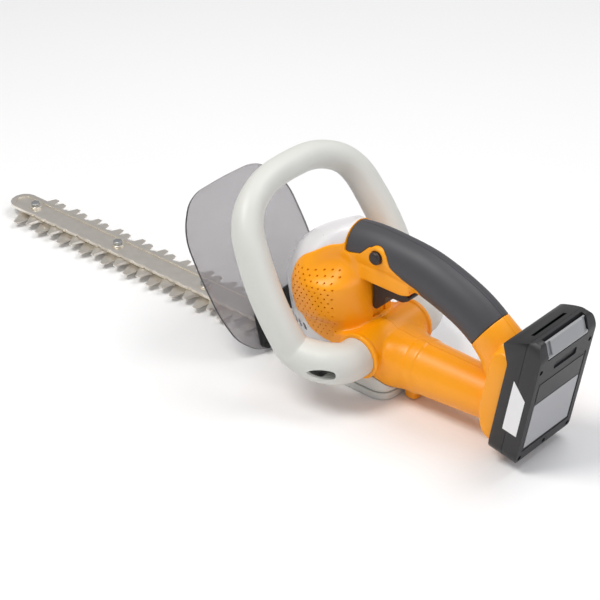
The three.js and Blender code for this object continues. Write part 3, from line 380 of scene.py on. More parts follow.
def to_grip_width(p, inset):
    """How far a point of the pod moves in so that the pod's rear narrows to the grip's own section."""
    share = (p.z - SPINE[0][1]) / (GRIP_HALF[1] + 1)
    width = GRIP_HALF[0] * math.sqrt(max(0.0, 1 - share * share)) + 0.6 - inset
    weight = (1 - ease(p.x, COVER_EDGE - 1, COVER_EDGE + 26)) * ease(p.z, 98, 122)
    return -math.copysign(weight * max(0.0, abs(p.y) - width), p.y)


def pod(inset, sides=112, bulge=0.0):
    """The pod over the motor. The bulge swells its sides above a soft step."""
    bottom = CASE_TOP + GAP
    rings = []
    for share, front, rear, half_share in spread(POD_ROWS, 6):
        z = bottom + share * (POD_TOP - inset - bottom)
        front -= inset
        rear += inset
        half = POD_HALF * half_share - inset
        centre = Vector(((front + rear) / 2, 0, z))
        points = ring(centre, ALONG_X, ALONG_Y, (front - rear) / 2, half, 2.2, sides)
        for p in points:
            ahead = max(0.0, (p.x - centre.x) / (front - centre.x))
            p.y *= 1 - NOSE_TAPER * ahead ** 2
            p.y += to_grip_width(p, inset)
            if bulge:
                upright = ease(p.z, 63, 68) * (1 - ease(p.z, 96, 124))
                swell = upright * ease(p.x, -62, -44) * (1 - ease(p.x, -12, 6))
                p.y += math.copysign(bulge * swell * min(1.0, abs(p.y) / 20), p.y)
        rings.append(points)
    return loft(rings)


def swept(rows, axes, sides=64):
    """A skin over rows of x, z, half width, half depth and power, square to their line or to X."""
    rings = []
    for i, (x, z, half_side, half_up, power) in enumerate(rows):
        before = rows[max(i - 1, 0)]
        after = rows[min(i + 1, len(rows) - 1)]
        tangent = Vector((after[0] - before[0], 0, after[1] - before[1])).normalized()
        up = tangent.cross(ALONG_Y) if axes == "line" else ALONG_Z
        rings.append(ring(Vector((x, 0, z)), ALONG_Y, up, half_side, half_up, power, sides))
    return loft(rings)


def handle(inset):
    w, d = GRIP_HALF
    return swept([(x, z, w - inset, d - inset, 2.0) for x, z in spread(SPINE, 8)], "line")


def neck(inset):
    w, d = GRIP_HALF
    rows = [
        (-184, 100, w - inset, d - inset, 2.0),
        (-197, 88.5, 1.02 * w - inset, 1.04 * d - inset, 2.2),
        (-206, 78, 1.15 * w - inset, 1.06 * d - inset, 2.4),
        (-211, 66, 1.3 * w - inset, 0.86 * d - inset, 2.4),
    ]
    return swept(spread(rows, 5), "line")


def tube(inset):
    rows = [
        (-216, 38, 21.9 - inset, 21.9 - inset, 2.2), (-200, 35.6, 21.5 - inset, 21.5 - inset, 2),
        (-122.5, 33.6, 24.2 - inset, 24.2 - inset, 2), (-108, 33.5, 25.6 - inset, 24.6 - inset, 2.2),
        (-94, 35, 30.5 - inset, 24 - inset, 2.8), (-76, 40, 33.5 - inset, 18.5 - inset, 3.2),
    ]
    return swept(spread(rows, 6), "level")


def foot(inset):
    outline = [
        (0, 5 + inset), (7, 7 + inset), (14 - inset, 15 + inset), (19 - inset, 30), (19 - inset, 84),
        (20 - inset, 88 - inset), (14, 93 - inset), (3, 93 - inset), (0, 90),
    ]
    half = PACK_HALF - 4.5 - inset
    body = prism(outline, in_pack, -half, half, 5)
    top = 25 - inset
    waist = prism(
        [(-half, 5), (half, 5), (half, 78), (top, 100), (-top, 100), (-half, 78)], on_pack_back, -50, 10, 9,
    )
    return kept_in(body, waist)


# ---------------------------------------------------------------- materials

def linear(code):
    """A linear colour from an sRGB hex value."""
    parts = [int(code[i:i + 2], 16) / 255 for i in (1, 3, 5)]
    return [p / 12.92 if p <= 0.04045 else ((p + 0.055) / 1.055) ** 2.4 for p in parts] + [1.0]


def node(tree, kind, values=(), **settings):
    """Adds a node with its settings; values go to inputs by name, and a socket given as a value is linked."""
    made = tree.nodes.new(kind)
    for key, value in settings.items():
        setattr(made, key, value)
    for key, value in dict(values).items():
        if isinstance(value, bpy.types.NodeSocket):
            tree.links.new(value, made.inputs[key])
        else:
            made.inputs[key].default_value = value
    return made


def blank_material(name):
    made = bpy.data.materials.new(name)
    made.use_nodes = True
    made.node_tree.nodes.clear()
    return made, made.node_tree


def shade_pair(tree, colour, low, high, factor):
    """A colour that wanders a little darker and lighter, by a factor."""
    darker = [c * low for c in colour[:3]] + [1]
    lighter = [min(1, c * high) for c in colour[:3]] + [1]
    mix = node(tree, "ShaderNodeMix", {"Factor": factor, "A": darker, "B": lighter}, data_type="RGBA")
    return mix.outputs["Result"]


def moulded(name, code, roughness, grain, depth, coat=0.0, ior=1.5):
    """A moulded polymer: spark-eroded grain of a size and depth in millimetres, and faint uneven gloss."""
    made, tree = blank_material(name)
    place = node(tree, "ShaderNodeTexCoord").outputs["Object"]
    cloud = node(tree, "ShaderNodeTexNoise", {"Vector": place, "Scale": 1 / (28 * MM), "Detail": 3.0})
    # The real grain is finer than a tenth of a millimetre; it is drawn coarser so that it shows.
    grit = node(tree, "ShaderNodeTexNoise", {"Vector": place, "Scale": 1 / (grain * MM), "Detail": 2.0})
    gloss = node(tree, "ShaderNodeMapRange", {
        "Value": cloud.outputs["Fac"], "To Min": roughness - 0.05, "To Max": roughness + 0.06,
    })
    bump = node(tree, "ShaderNodeBump", {
        "Height": grit.outputs["Fac"], "Distance": depth * MM, "Strength": 0.6,
    })
    shader = node(tree, "ShaderNodeBsdfPrincipled", {
        "Base Color": shade_pair(tree, linear(code), 0.96, 1.03, cloud.outputs["Fac"]),
        "Roughness": gloss.outputs["Result"], "Normal": bump.outputs["Normal"],
        "IOR": ior, "Coat Weight": coat, "Coat Roughness": 0.15,
    })
    node(tree, "ShaderNodeOutputMaterial", {"Surface": shader.outputs["BSDF"]})
    return made


def metal(name, code, roughness, line, along=(1, 12, 12)):
    """A worked metal: marks of a width in millimetres, stretched by how it was ground or turned."""
    made, tree = blank_material(name)
    place = node(tree, "ShaderNodeTexCoord").outputs["Object"]
    stretch = node(tree, "ShaderNodeMapping", {"Vector": place, "Scale": along}).outputs["Vector"]
    marks = node(tree, "ShaderNodeTexNoise", {
        "Vector": stretch, "Scale": 1 / (12 * line * MM), "Detail": 4.0,
    })
    cloud = node(tree, "ShaderNodeTexNoise", {"Vector": place, "Scale": 1 / (9 * MM), "Detail": 3.0})
    gloss = node(tree, "ShaderNodeMapRange", {
        "Value": marks.outputs["Fac"], "To Min": roughness - 0.07, "To Max": roughness + 0.1,
    })
    bump = node(tree, "ShaderNodeBump", {
        "Height": marks.outputs["Fac"], "Distance": 0.02 * MM, "Strength": 0.5,
    })
    shader = node(tree, "ShaderNodeBsdfPrincipled", {
        "Base Color": shade_pair(tree, linear(code), 0.86, 1.08, cloud.outputs["Fac"]),
        "Metallic": 1.0, "Roughness": gloss.outputs["Result"], "Normal": bump.outputs["Normal"],
    })
    node(tree, "ShaderNodeOutputMaterial", {"Surface": shader.outputs["BSDF"]})
    return made


def clear_sheet(name, code, roughness, cover):
    """A smoke-tinted clear sheet, polished, that lets part of the light straight through."""
    made, tree = blank_material(name)
    place = node(tree, "ShaderNodeTexCoord").outputs["Object"]
    cloud = node(tree, "ShaderNodeTexNoise", {"Vector": place, "Scale": 1 / (45 * MM), "Detail": 2.0})
    gloss = node(tree, "ShaderNodeMapRange", {
        "Value": cloud.outputs["Fac"], "To Min": roughness - 0.03, "To Max": roughness + 0.05,
    })
    shader = node(tree, "ShaderNodeBsdfPrincipled", {
        "Base Color": shade_pair(tree, linear(code), 0.97, 1.03, cloud.outputs["Fac"]),
        "Roughness": gloss.outputs["Result"], "IOR": 1.58, "Alpha": cover,
    })
    node(tree, "ShaderNodeOutputMaterial", {"Surface": shader.outputs["BSDF"]})
    return made


# What each slot really is, with the function that draws it.
RECIPES = {
    # Moulded ABS, fine spark-eroded tool: an even satin with soft highlights.
    "housing_yellow": lambda s: moulded("moulded_abs_yellow", s.yellow, 0.36, 0.9, 0.012, 0.04),
    # Moulded ABS from a polished tool: brighter, tighter highlights.
    "cover_white": lambda s: moulded("moulded_abs_white", s.white, 0.28, 1.1, 0.006, 0.2),
    # Moulded glass-filled nylon: dull satin, light warm grey.
    "handle_grey": lambda s: moulded("moulded_nylon_light_grey", s.light_grey, 0.42, 0.9, 0.012),
    # Overmoulded thermoplastic elastomer: matt, with a sheen spread wide.
    "grip_rubber": lambda s: moulded("overmoulded_elastomer_grey", s.grip, 0.5, 0.7, 0.03, 0, 1.48),
    # Moulded nylon, brown-black, smooth.
    "dark_plastic": lambda s: moulded("moulded_nylon_brown_black", s.trigger, 0.4, 0.8, 0.01),
    # Moulded ABS and polycarbonate blend, black, lightly glossy.
    "black_plastic": lambda s: moulded("moulded_blend_black", s.black, 0.32, 0.8, 0.012),
    # The same blend from a coarse tool: visible grain.
    "pack_grey": lambda s: moulded("moulded_blend_charcoal", s.pack, 0.48, 1.2, 0.05),
    # Moulded acetal: smooth mid grey.
    "latch_grey": lambda s: moulded("moulded_acetal_grey", s.latch, 0.38, 0.8, 0.01),
    # Extruded polycarbonate sheet: clear, smoke-tinted, with a hard gloss.
    "shield_clear": lambda s: clear_sheet("polycarbonate_sheet_smoke", s.shield, 0.12, 0.5),
    # Ground and nickel-plated spring steel: lines run along the blade.
    "blade_steel": lambda s: metal("ground_nickel_plated_steel", s.steel, 0.34, 0.25, (1, 14, 14)),
    # Zinc-plated steel: even, slightly dull.
    "screw_steel": lambda s: metal("zinc_plated_steel", "#B9BBBC", 0.36, 0.4, (1, 1, 1)),
    # Sintered steel, oiled: dark and finely pitted.
    "gear_steel": lambda s: metal("sintered_steel_oiled", "#77777A", 0.42, 0.5, (1, 1, 1)),
    # Turned brass: warm, with fine turning rings.
    "pinion_brass": lambda s: metal("turned_brass", "#CDA75C", 0.28, 0.3, (1, 1, 10)),
    # Rolled aluminium plate: pale, with faint lines along the roll.
    "plate_aluminium": lambda s: metal("rolled_aluminium", "#C3C6C8", 0.36, 0.3, (1, 12, 12)),
    # Plated copper alloy strip: warm and bright.
    "terminal_copper": lambda s: metal("plated_copper_alloy", "#C1824B", 0.3, 0.3, (1, 12, 1)),
    # Shrink-wrapped cells: thin glossy sleeve.
    "cell_wrap": lambda s: moulded("shrink_sleeve_green", "#3F8F6C", 0.3, 2.0, 0.02),
    # Lacquered glass-fibre board: dark green under a clear gloss.
    "board_green": lambda s: moulded("lacquered_board_green", "#2D6B3C", 0.35, 0.5, 0.01),
    # Silicone-insulated wire: soft, dull colour.
    "lead_red": lambda s: moulded("silicone_wire_red", "#B02A22", 0.5, 0.6, 0.01),
    "lead_black": lambda s: moulded("silicone_wire_black", "#1D1D1F", 0.5, 0.6, 0.01),
    # Vinyl label with nothing printed on it: flat and even.
    "label_grey": lambda s: moulded("vinyl_label_grey", s.label, 0.38, 0.5, 0.004),
    "label_white": lambda s: moulded("vinyl_label_white", "#E9E9EA", 0.36, 0.5, 0.004),
    "label_black": lambda s: moulded("vinyl_label_black", "#1B1B1D", 0.36, 0.5, 0.004),
    # The sheet's sawn and flamed edge, given an opaque dark colour: painted shade for how it gathers the tint
    # and looks dark.
    "shield_edge_painted_shade": lambda s: moulded("polycarbonate_edge_painted_shade", "#3A373B", 0.25, 2.0, 0.01),
}
made_materials = {}


def material(slot):
    """The material of a slot, made once."""
    if slot not in made_materials:
        made_materials[slot] = RECIPES[slot](bpy.context.scene.trimmer_colours)
    return made_materials[slot]


def bare(obj, name, slot):
    """Finishes a label, which stands for no node of the CAD and so rides on the battery pack."""
    obj.name = name
    obj.data.name = name
    face_outward(obj)
    only(obj)
    bpy.ops.object.shade_smooth_by_angle(angle=math.radians(30))
    obj.data.materials.clear()
    obj.data.materials.append(material(slot))
    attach(obj, "battery_pack")
    return obj


# ---------------------------------------------------------------- settings

class TrimmerSizes(bpy.types.PropertyGroup):
    """Sizes that shape the visible pieces."""

    blend_voxel: bpy.props.FloatProperty(
        name="Blend size", description="Side of the quads of the fused housing, in millimetres", default=1.1,
    )
    blend_rounds: bpy.props.IntProperty(
        name="Blend rounds", description="How many times the fused housing is eased", default=12,
    )
    edge_voxel: bpy.props.FloatProperty(
        name="Edge size", description="Side of the quads that round the panel's edges, in millimetres",
        default=0.85,
    )
    bulge: bpy.props.FloatProperty(
        name="Bulge", description="How far the sides swell over the motor, in millimetres", default=3.2,
    )
    vent_pitch: bpy.props.FloatProperty(
        name="Vent pitch", description="Distance between vent holes in a row, in millimetres", default=5.4,
    )
    vent_radius: bpy.props.FloatProperty(
        name="Vent radius", description="Radius of a vent hole, in millimetres", default=0.85,
    )
    shield_bevel: bpy.props.FloatProperty(
        name="Shield edge", description="Rounding of the shield's edge, in millimetres", default=0.6,
    )


class TrimmerColours(bpy.types.PropertyGroup):
    """Colours as sRGB hex values."""

    yellow: bpy.props.StringProperty(name="Housing", description="Housing halves", default="#FBA200")
    white: bpy.props.StringProperty(name="Cover", description="Front cover", default="#DEDCDE")
    light_grey: bpy.props.StringProperty(
        name="Handle", description="Loop handle and gear case", default="#CFD0CB",
    )
    grip: bpy.props.StringProperty(name="Grip", description="Rear grip", default="#434347")
    trigger: bpy.props.StringProperty(
        name="Trigger", description="Trigger and lock-off button", default="#272020",
    )
    black: bpy.props.StringProperty(
        name="Black", description="Pack's front shell and bracket", default="#121214",
    )
    pack: bpy.props.StringProperty(name="Pack", description="Pack's rear shell", default="#262628")
    latch: bpy.props.StringProperty(name="Latch", description="Latch bar", default="#97989A")
    label: bpy.props.StringProperty(name="Label", description="Blank rear label", default="#A5A5A8")
    shield: bpy.props.StringProperty(name="Shield", description="Hand shield", default="#9C989C")
    steel: bpy.props.StringProperty(name="Steel", description="Blades and guide bar", default="#F0EAE0")


# ---------------------------------------------------------------- housing, cover and grips

def above_grip_edge(grow):
    """The space over the handle that the grip fills, from the front cover back to the neck."""
    edge = [(x, z - grow) for x, z in GRIP_EDGE]
    outline = [
        (GRIP_FRONT + grow, 210), (GRIP_FRONT + grow, 128 - grow), *edge, (-126, 82 - grow),
        (-168, 78 - grow), (-171 - grow, 77.3 - grow), (-203.4 - grow, 123), (-203.4 - grow, 210),
    ]
    return prism(outline, across, -60, 60, 2, 3)


def ahead_of_panel(grow):
    edge = [(x - grow, z) for x, z in PANEL_EDGE]
    return prism([(-44.8 - grow, 210), *edge, (90, 20), (90, 210)], across, -70, 70, 5)


def housing_hollow():
    hollow = joined(pod(WALL, 32), tube(WALL), neck(WALL + 0.6), foot(WALL))
    core = handle(GRIP_THICK + WALL)
    hollow = joined(hollow, cut(core, box(-260, -196, -50, 50, 0, 200)))
    solid = [bar_y(x, z, -40, 40, 4.4, 16) for x, z in HOUSING_SCREWS]
    solid.append(bar_y(LOCK_X, LOCK_Z, 8, 17, 8.5, 24))
    rim = kept_in(pod(-PANEL_PROUD, 64), box(GRIP_FRONT - 1, COVER_EDGE, -60, 60, 110, 200))
    return cut(hollow, *solid, rim, box(-120, -66.6, -17, 17, 100, 114))


def vent_pins():
    """Pins that stand for the vents: through holes in the upper rows, ever finer dimples below."""
    s = bpy.context.scene.trimmer_sizes
    pins = []
    for row in range(VENT_ROWS):
        z = VENT_TOP - VENT_ROW_STEP * row
        through = row < VENT_THROUGH_ROWS
        fade = max(0.0, (row - VENT_THROUGH_ROWS + 1) / (VENT_ROWS - VENT_THROUGH_ROWS + 1))
        radius = s.vent_radius * (1 - 0.35 * fade)
        for k in range(9 if row % 2 else 8):
            x = -48 + (s.vent_pitch / 2 if row % 2 == 0 else 0) + s.vent_pitch * k
            if x > -9 - 0.15 * max(0, z - 100) or (row > 10 and x > -16):
                continue
            for side in (-1, 1):
                pins.append((x, z, side, radius, through))
    return pins


class TRIMMER_OT_housing(bpy.types.Operator):
    """Models both housing halves as one fused skin, then trims and splits it"""

    bl_idname = "trimmer.housing"
    bl_label = "Housing halves"

    def execute(self, context):
        s = context.scene.trimmer_sizes
        body = joined(
            pod(-PANEL_PROUD, 112, s.bulge),
            handle(0),
            prism(
                [(-46, 120), (-112, 117), (-114, 108), (-104, 105), (-56, 105)], across, -16.8, 16.8, 3,
            ),
            bar_y(CROSS_X, CROSS_Z, -CROSS_HALF, CROSS_HALF, CROSS_RADIUS, 96),
            prism(
                [(CROSS_X, 62), (-56, 57.5), (-42, 51), (-42, 36), (CROSS_X, 30)], across, -34, 34, 4,
            ),
            tube(0),
            neck(0),
            foot(0),
            prism([(-116, -9), (-103, -9), (-103, 9), (-116, 9)], flat, 0.2, 20, 4),
        )
        softened(body, s.blend_voxel, s.blend_rounds)
        body = cut(body, above_grip_edge(0))
        body = joined(body, handle(GRIP_THICK))
        body = cut(body, ahead_of_panel(0), box(-10, 90, -70, 70, -5, 33))
        for side in (-1, 1):
            low, high = sorted((side * CROSS_HALF, side * (CROSS_HALF - 4)))
            collar = bevelled(bar_y(CROSS_X, CROSS_Z, low, high, CROSS_RADIUS + 1.3, 96), 0.9)
            body = joined(body, collar)
        body = joined(body, bevelled(bar((-122, 0, 33.6), (-112, 0, 33.6), 25.1, 96), 0.7))
        body = joined(body, bevelled(bar_y(LOCK_X, LOCK_Z, 10, 18.3, 9.4, 64), 1.2))
        softened(body, s.edge_voxel, 2)
        sweep = prism(
            [(-90, -20), (0, -20), (0, 95), (3.3, 102), (8.3, 112.5), (8.3, 190), (-90, 190)],
            in_pack, -80, 80,
        )
        rail = [
            (-3, -16.5), (3.45, -16.5), (3.45, -21.5), (6.5, -21.5),
            (6.5, 21.5), (3.45, 21.5), (3.45, 16.5), (-3, 16.5),
        ]
        trigger_slot = box(-113, -66.6, -8.45, 8.45, 66, 113)
        body = cut(
            body, housing_hollow(), sweep, trigger_slot,
            bar_y(LOCK_X, LOCK_Z, 14.1, 40, 6.35, 48), bar_y(LOCK_X, LOCK_Z, 0, 20, 2.9, 24),
            bar_y(TRIGGER_X, TRIGGER_Z, -13, 13, 2.1, 24),
            prism(rail, lambda a, b, h: in_pack(a, h, b), 30, 160),
            prism([(-1, 17), (7.3, 17), (7.3, 29.6), (-1, 29.6)], in_pack, -14.3, 14.3),
        )
        for x, z in HOUSING_SCREWS:
            body = cut(
                body, bar_y(x, z, -60, -12, SCREW_HEAD_WELL, 32), bar_y(x, z, -13, 11, SCREW_HOLE, 16),
            )
        for side in (-1, 1):
            low, high = sorted((side * 16, side * 90))
            body = cut(body, bar_y(CROSS_X, CROSS_Z, low, high, LOOP_SCREW_HOLE, 24))
        skin = pod(-PANEL_PROUD, 112, s.bulge)
        pins = []
        for x, z, side, radius, through in vent_pins():
            hit = surface_y(skin, x, z, side)
            if hit is None:
                continue
            low, high = sorted((hit - side * (6 if through else 0.7), hit + side * 4))
            pins.append(bar_y(x, z, low, high, radius, 12))
        bpy.data.meshes.remove(skin.data)
        body = cut(body, fused(pins))
        left, right = halves(body)
        finished(left, "housing_left", "tool", "housing_yellow", ["left_housing"])
        finished(right, "housing_right", "tool", "housing_yellow", ["right_housing"])
        return {"FINISHED"}


def halves(whole):
    """Splits a whole at the tool's middle plane into its left and right half."""
    left = kept_in(copied(whole, "left"), box(-300, 300, GAP / 2, 200, -50, 300))
    right = kept_in(whole, box(-300, 300, -200, -GAP / 2, -50, 300))
    return left, right


def surface_y(obj, x, z, side):
    """Where a ray along Y from outside meets an object, in millimetres."""
    found, place, _, _ = obj.ray_cast(Vector((x, side * 100, z)) * MM, Vector((0, -side, 0)))
    return place.y / MM if found else None


def fused(parts):
    """One object of many that don't touch."""
    for part in bpy.context.selected_objects:
        part.select_set(False)
    for part in parts:
        part.select_set(True)
    bpy.context.view_layer.objects.active = parts[0]
    bpy.ops.object.join()
    return parts[0]


class TRIMMER_OT_cover(bpy.types.Operator):
    """Models the white front cover with its vent slots"""

    bl_idname = "trimmer.cover"
    bl_label = "Front cover"

    def execute(self, context):
        cover = kept_in(pod(0, 128), ahead_of_panel(GAP))
        cover = cut(cover, box(-10, 90, -70, 70, 0, 33.3), pod(WALL, 32))
        slots = [prism(
            [(-17 + 7 * i, 44), (-13.6 + 7 * i, 44), (-11.6 + 7 * i, 51), (-15 + 7 * i, 51)],
            across, -80, 80, 1.4,
        ) for i in range(4)]
        cover = cut(cover, *slots)
        finished(cover, "cover_front", "tool", "cover_white", ["front_cover"], 40)
        return {"FINISHED"}


class TRIMMER_OT_grips(bpy.types.Operator):
    """Models the two rubber grip halves"""

    bl_idname = "trimmer.grips"
    bl_label = "Rear grip"

    def execute(self, context):
        sleeve = kept_in(handle(0), above_grip_edge(-GAP))
        softened(sleeve, 0.7, 2)
        sleeve = cut(sleeve, handle(GRIP_THICK - GAP), bar_y(LOCK_X, LOCK_Z, 0, 40, 9.4 + GAP, 48))
        for x, z in HOUSING_SCREWS:
            sleeve = cut(sleeve, bar_y(x, z, -60, -12, SCREW_HEAD_WELL, 32))
        left, right = halves(sleeve)
        finished(left, "grip_left", "tool", "grip_rubber", ["left_grip"])
        finished(right, "grip_right", "tool", "grip_rubber", ["right_grip"])
        return {"FINISHED"}


# ---------------------------------------------------------------- loop handle

# The oval recess over each of the loop's screws, in x and z from the screw.
SCREW_WELL = ((-5.4, 3.6), (3, 5.4), (12, 3.4), (19, -0.4), (12, -3.6), (3, -5.4), (-5.4, -3.6))


def loop_rows():
    """The loop's centre line and radius, from the left end of the cross-cylinder to the middle of its top."""
    place = leaning(-43, 42.5)
    w = 79.5
    h = 152.0
    end = CROSS_HALF + GAP
    rows = [
        (Vector((CROSS_X, end, CROSS_Z)), 17.6),
        (Vector((CROSS_X + 1, end + 12, CROSS_Z)), 17.6),
        (Vector((CROSS_X + 8, w - 19, CROSS_Z + 0.6)), 17.95),
        (Vector((CROSS_X + 22, w - 11.5, CROSS_Z + 2)), 17.1),
    ]
    for y, s, radius in (
        (w - 5.5, 11, 15.3), (w - 1.5, 29, 14.6), (w, 53, 14.6), (w - 0.8, 76, 14.6), (w - 3.5, 97, 14.3),
        (w - 8, h - 35, 13.9), (w - 18, h - 19, 13.1), (w - 34, h - 8, 12.6), (w - 54, h - 1.5, 12.4),
        (0, h, 12.4),
    ):
        rows.append((place(y, s, 0), radius))
    return rows


def loop_skin(inset, sides):
    half = [(*p, radius) for p, radius in loop_rows()]
    mirrored = [(x, -y, z, radius) for x, y, z, radius in reversed(half[:-1])]
    rows = spread(half + mirrored, 6)
    if inset:
        rows[0][1] -= 1
        rows[-1][1] += 1
    rings = []
    for i, (x, y, z, radius) in enumerate(rows):
        before = Vector(rows[max(i - 1, 0)][:3])
        after = Vector(rows[min(i + 1, len(rows) - 1)][:3])
        tangent = (after - before).normalized()
        if i in (0, len(rows) - 1):
            tangent = ALONG_Y * (1 if i == 0 else -1)
        out = Vector((math.cos(LEAN), 0, -math.sin(LEAN)))
        out = (out - tangent * out.dot(tangent)).normalized()
        own = radius - inset
        rings.append(ring(Vector((x, y, z)), out.cross(tangent), out, own, own, 2, sides))
    return loft(rings)


class TRIMMER_OT_loop(bpy.types.Operator):
    """Models the loop handle with an oval recess over each screw"""

    bl_idname = "trimmer.loop"
    bl_label = "Loop handle"

    def execute(self, context):
        loop = loop_skin(0, 72)
        hollow = loop_skin(3, 20)
        seat = CROSS_HALF + 22
        for side in (-1, 1):
            low, high = sorted((side * (CROSS_HALF - 3), side * 110))
            hollow = cut(hollow, bar_y(CROSS_X, CROSS_Z, low, high, 8.5, 24))
        loop = cut(loop, hollow)
        for side in (-1, 1):
            low, high = sorted((side * 16, side * 95))
            loop = cut(loop, bar_y(CROSS_X, CROSS_Z, low, high, LOOP_SCREW_HOLE, 24))
            low, high = sorted((side * seat, side * 120))
            well = prism(
                [(CROSS_X + x, CROSS_Z + z) for x, z in SCREW_WELL], across, low, high, 4.5,
            )
            loop = cut(loop, well)
        finished(loop, "loop_handle_moulded", "tool", "handle_grey", ["loop_handle"], 40)
        return {"FINISHED"}


# ---------------------------------------------------------------- gear case and bottom plate

def rounded_block(x0, x1, half, z0, z1, corner, front_corner, top=3.0):
    """A block with rounded upright corners and an eased top edge."""
    outline = [(x0, -half), (x1, -half, front_corner), (x1, half, front_corner), (x0, half)]
    block = prism(outline, flat, z0, z1, corner, 8)
    return bevelled(block, top, 5, 60)


class TRIMMER_OT_base(bpy.types.Operator):
    """Models the gear case and the bottom plate that the tool stands on"""

    bl_idname = "trimmer.base"
    bl_label = "Gear case and bottom plate"

    def execute(self, context):
        case = joined(
            rounded_block(-100, 32, 30, 6.9, 25, 18, 8, 5.5), rounded_block(-52, 32, 30, 6.9, 33, 8, 8, 4),
        )
        flat_foot = box(-130, 60, -60, 60, 0, 6.9)
        case = cut(
            case, flat_foot, bar_z(0, 0, -1, 21.2, 26.5, 64), bar_z(-30, 0, -1, 60, 9.5, 32),
            box(-30.5, 30.5, -20.5, 20.5, -1, 12.7), bar_z(0, 0, 0, 27.1, 8.3, 32),
            bar_z(0, 0, 0, 29.5, 3.3, 24), box(0, 37, -13.95, 13.95, 3.7, 12.7), tube(-GAP),
            bar_y(CROSS_X, CROSS_Z, -60, 60, 21.3, 64), bar_y(CROSS_X, CROSS_Z, 38, 70, 18.6, 48),
            bar_y(CROSS_X, CROSS_Z, -70, -38, 18.6, 48),
        )
        for x, y in BASE_SCREWS:
            case = cut(case, bar_z(x, y, 0, 18, SCREW_HOLE, 16))
        case = cut(
            case, bar_z(BAR_SCREW_X, 0, 0, 60, SCREW_HOLE, 16),
            bar_z(BAR_SCREW_X, 0, 27, 60, SCREW_HEAD_WELL, 32),
        )
        for y in (-20.5, 20.5):
            case = cut(case, bar_z(-45, y, 23, 60, SCREW_HOLE, 16))
        finished(case, "case_gear", "tool", "handle_grey", ["gear_case"])
        tray = prism(
            [(-98.5, -28.5), (30.5, -28.5, 7), (30.5, 28.5, 7), (-98.5, 28.5)], flat, 0, 6.6, 17, 8,
        )
        tray = bevelled(tray, 0.8, 3, 60)
        hollow = prism([(-95, -25), (27, -25, 4), (27, 25, 4), (-95, 25)], flat, 2.2, 20, 14, 6)
        for x, y in BASE_SCREWS:
            hollow = cut(hollow, bar_z(x, y, -1, 20, 4.4, 24))
        tray = cut(
            tray, hollow, box(0, 60, -18.5, 18.5, 2.2, 20), tube(-GAP),
            prism([(-117, -10), (-102, -10), (-102, 10), (-117, 10)], flat, -1, 20, 4),
        )
        for x, y in BASE_SCREWS:
            tray = cut(tray, bar_z(x, y, -1, 20, SCREW_HOLE, 16), bar_z(x, y, -1, 2.9, SCREW_HEAD_WELL, 32))
        finished(tray, "plate_bottom", "tool", "handle_grey", ["bottom_plate"])
        return {"FINISHED"}


# ---------------------------------------------------------------- trigger and lock-off button

class TRIMMER_OT_trigger(bpy.types.Operator):
    """Models the trigger on its pivot and the lock-off button"""

    bl_idname = "trimmer.trigger"
    bl_label = "Trigger and lock-off button"

    def execute(self, context):
        outline = [
            (-67.4, 107), (-77, 107.5), (-84, 104), (-106, 100.5), (-107, 97), (-100, 92.6), (-84, 92.2),
            (-80.5, 89), (-80, 83), (-71, 74.5), (-67.4, 76),
        ]
        lever = bevelled(prism(outline, across, -8, 8, 2.2, 6), 1.3, 4, 50)
        lever = joined(lever, bar_y(TRIGGER_X, TRIGGER_Z, -12.6, 12.6, 1.8, 32))
        finished(lever, "trigger_lever_moulded", "trigger_lever", "dark_plastic", ["trigger"])
        button = bevelled(bar_y(LOCK_X, LOCK_Z, 17.6, 22.6, 5.9, 64), 2.4, 6, 60)
        button = joined(button, bar_y(LOCK_X, LOCK_Z, 5, 19, 2.6, 32))
        finished(button, "button_lock_off", "lock_off", "dark_plastic", ["lock_off_button"])
        return {"FINISHED"}


# ---------------------------------------------------------------- hand shield

# The shield's left side, from its foot round to the middle of its top, across and up the slope.
SHIELD_CORNERS = (
    (19, 2), (29, 2), (43, 7), (59, 23), (66, 50), (68, 85), (67, 118), (61, 134), (48, 150), (34, 156),
    (0, 157),
)
SHIELD_SCREWS = ((27, 26), (-27, 26))


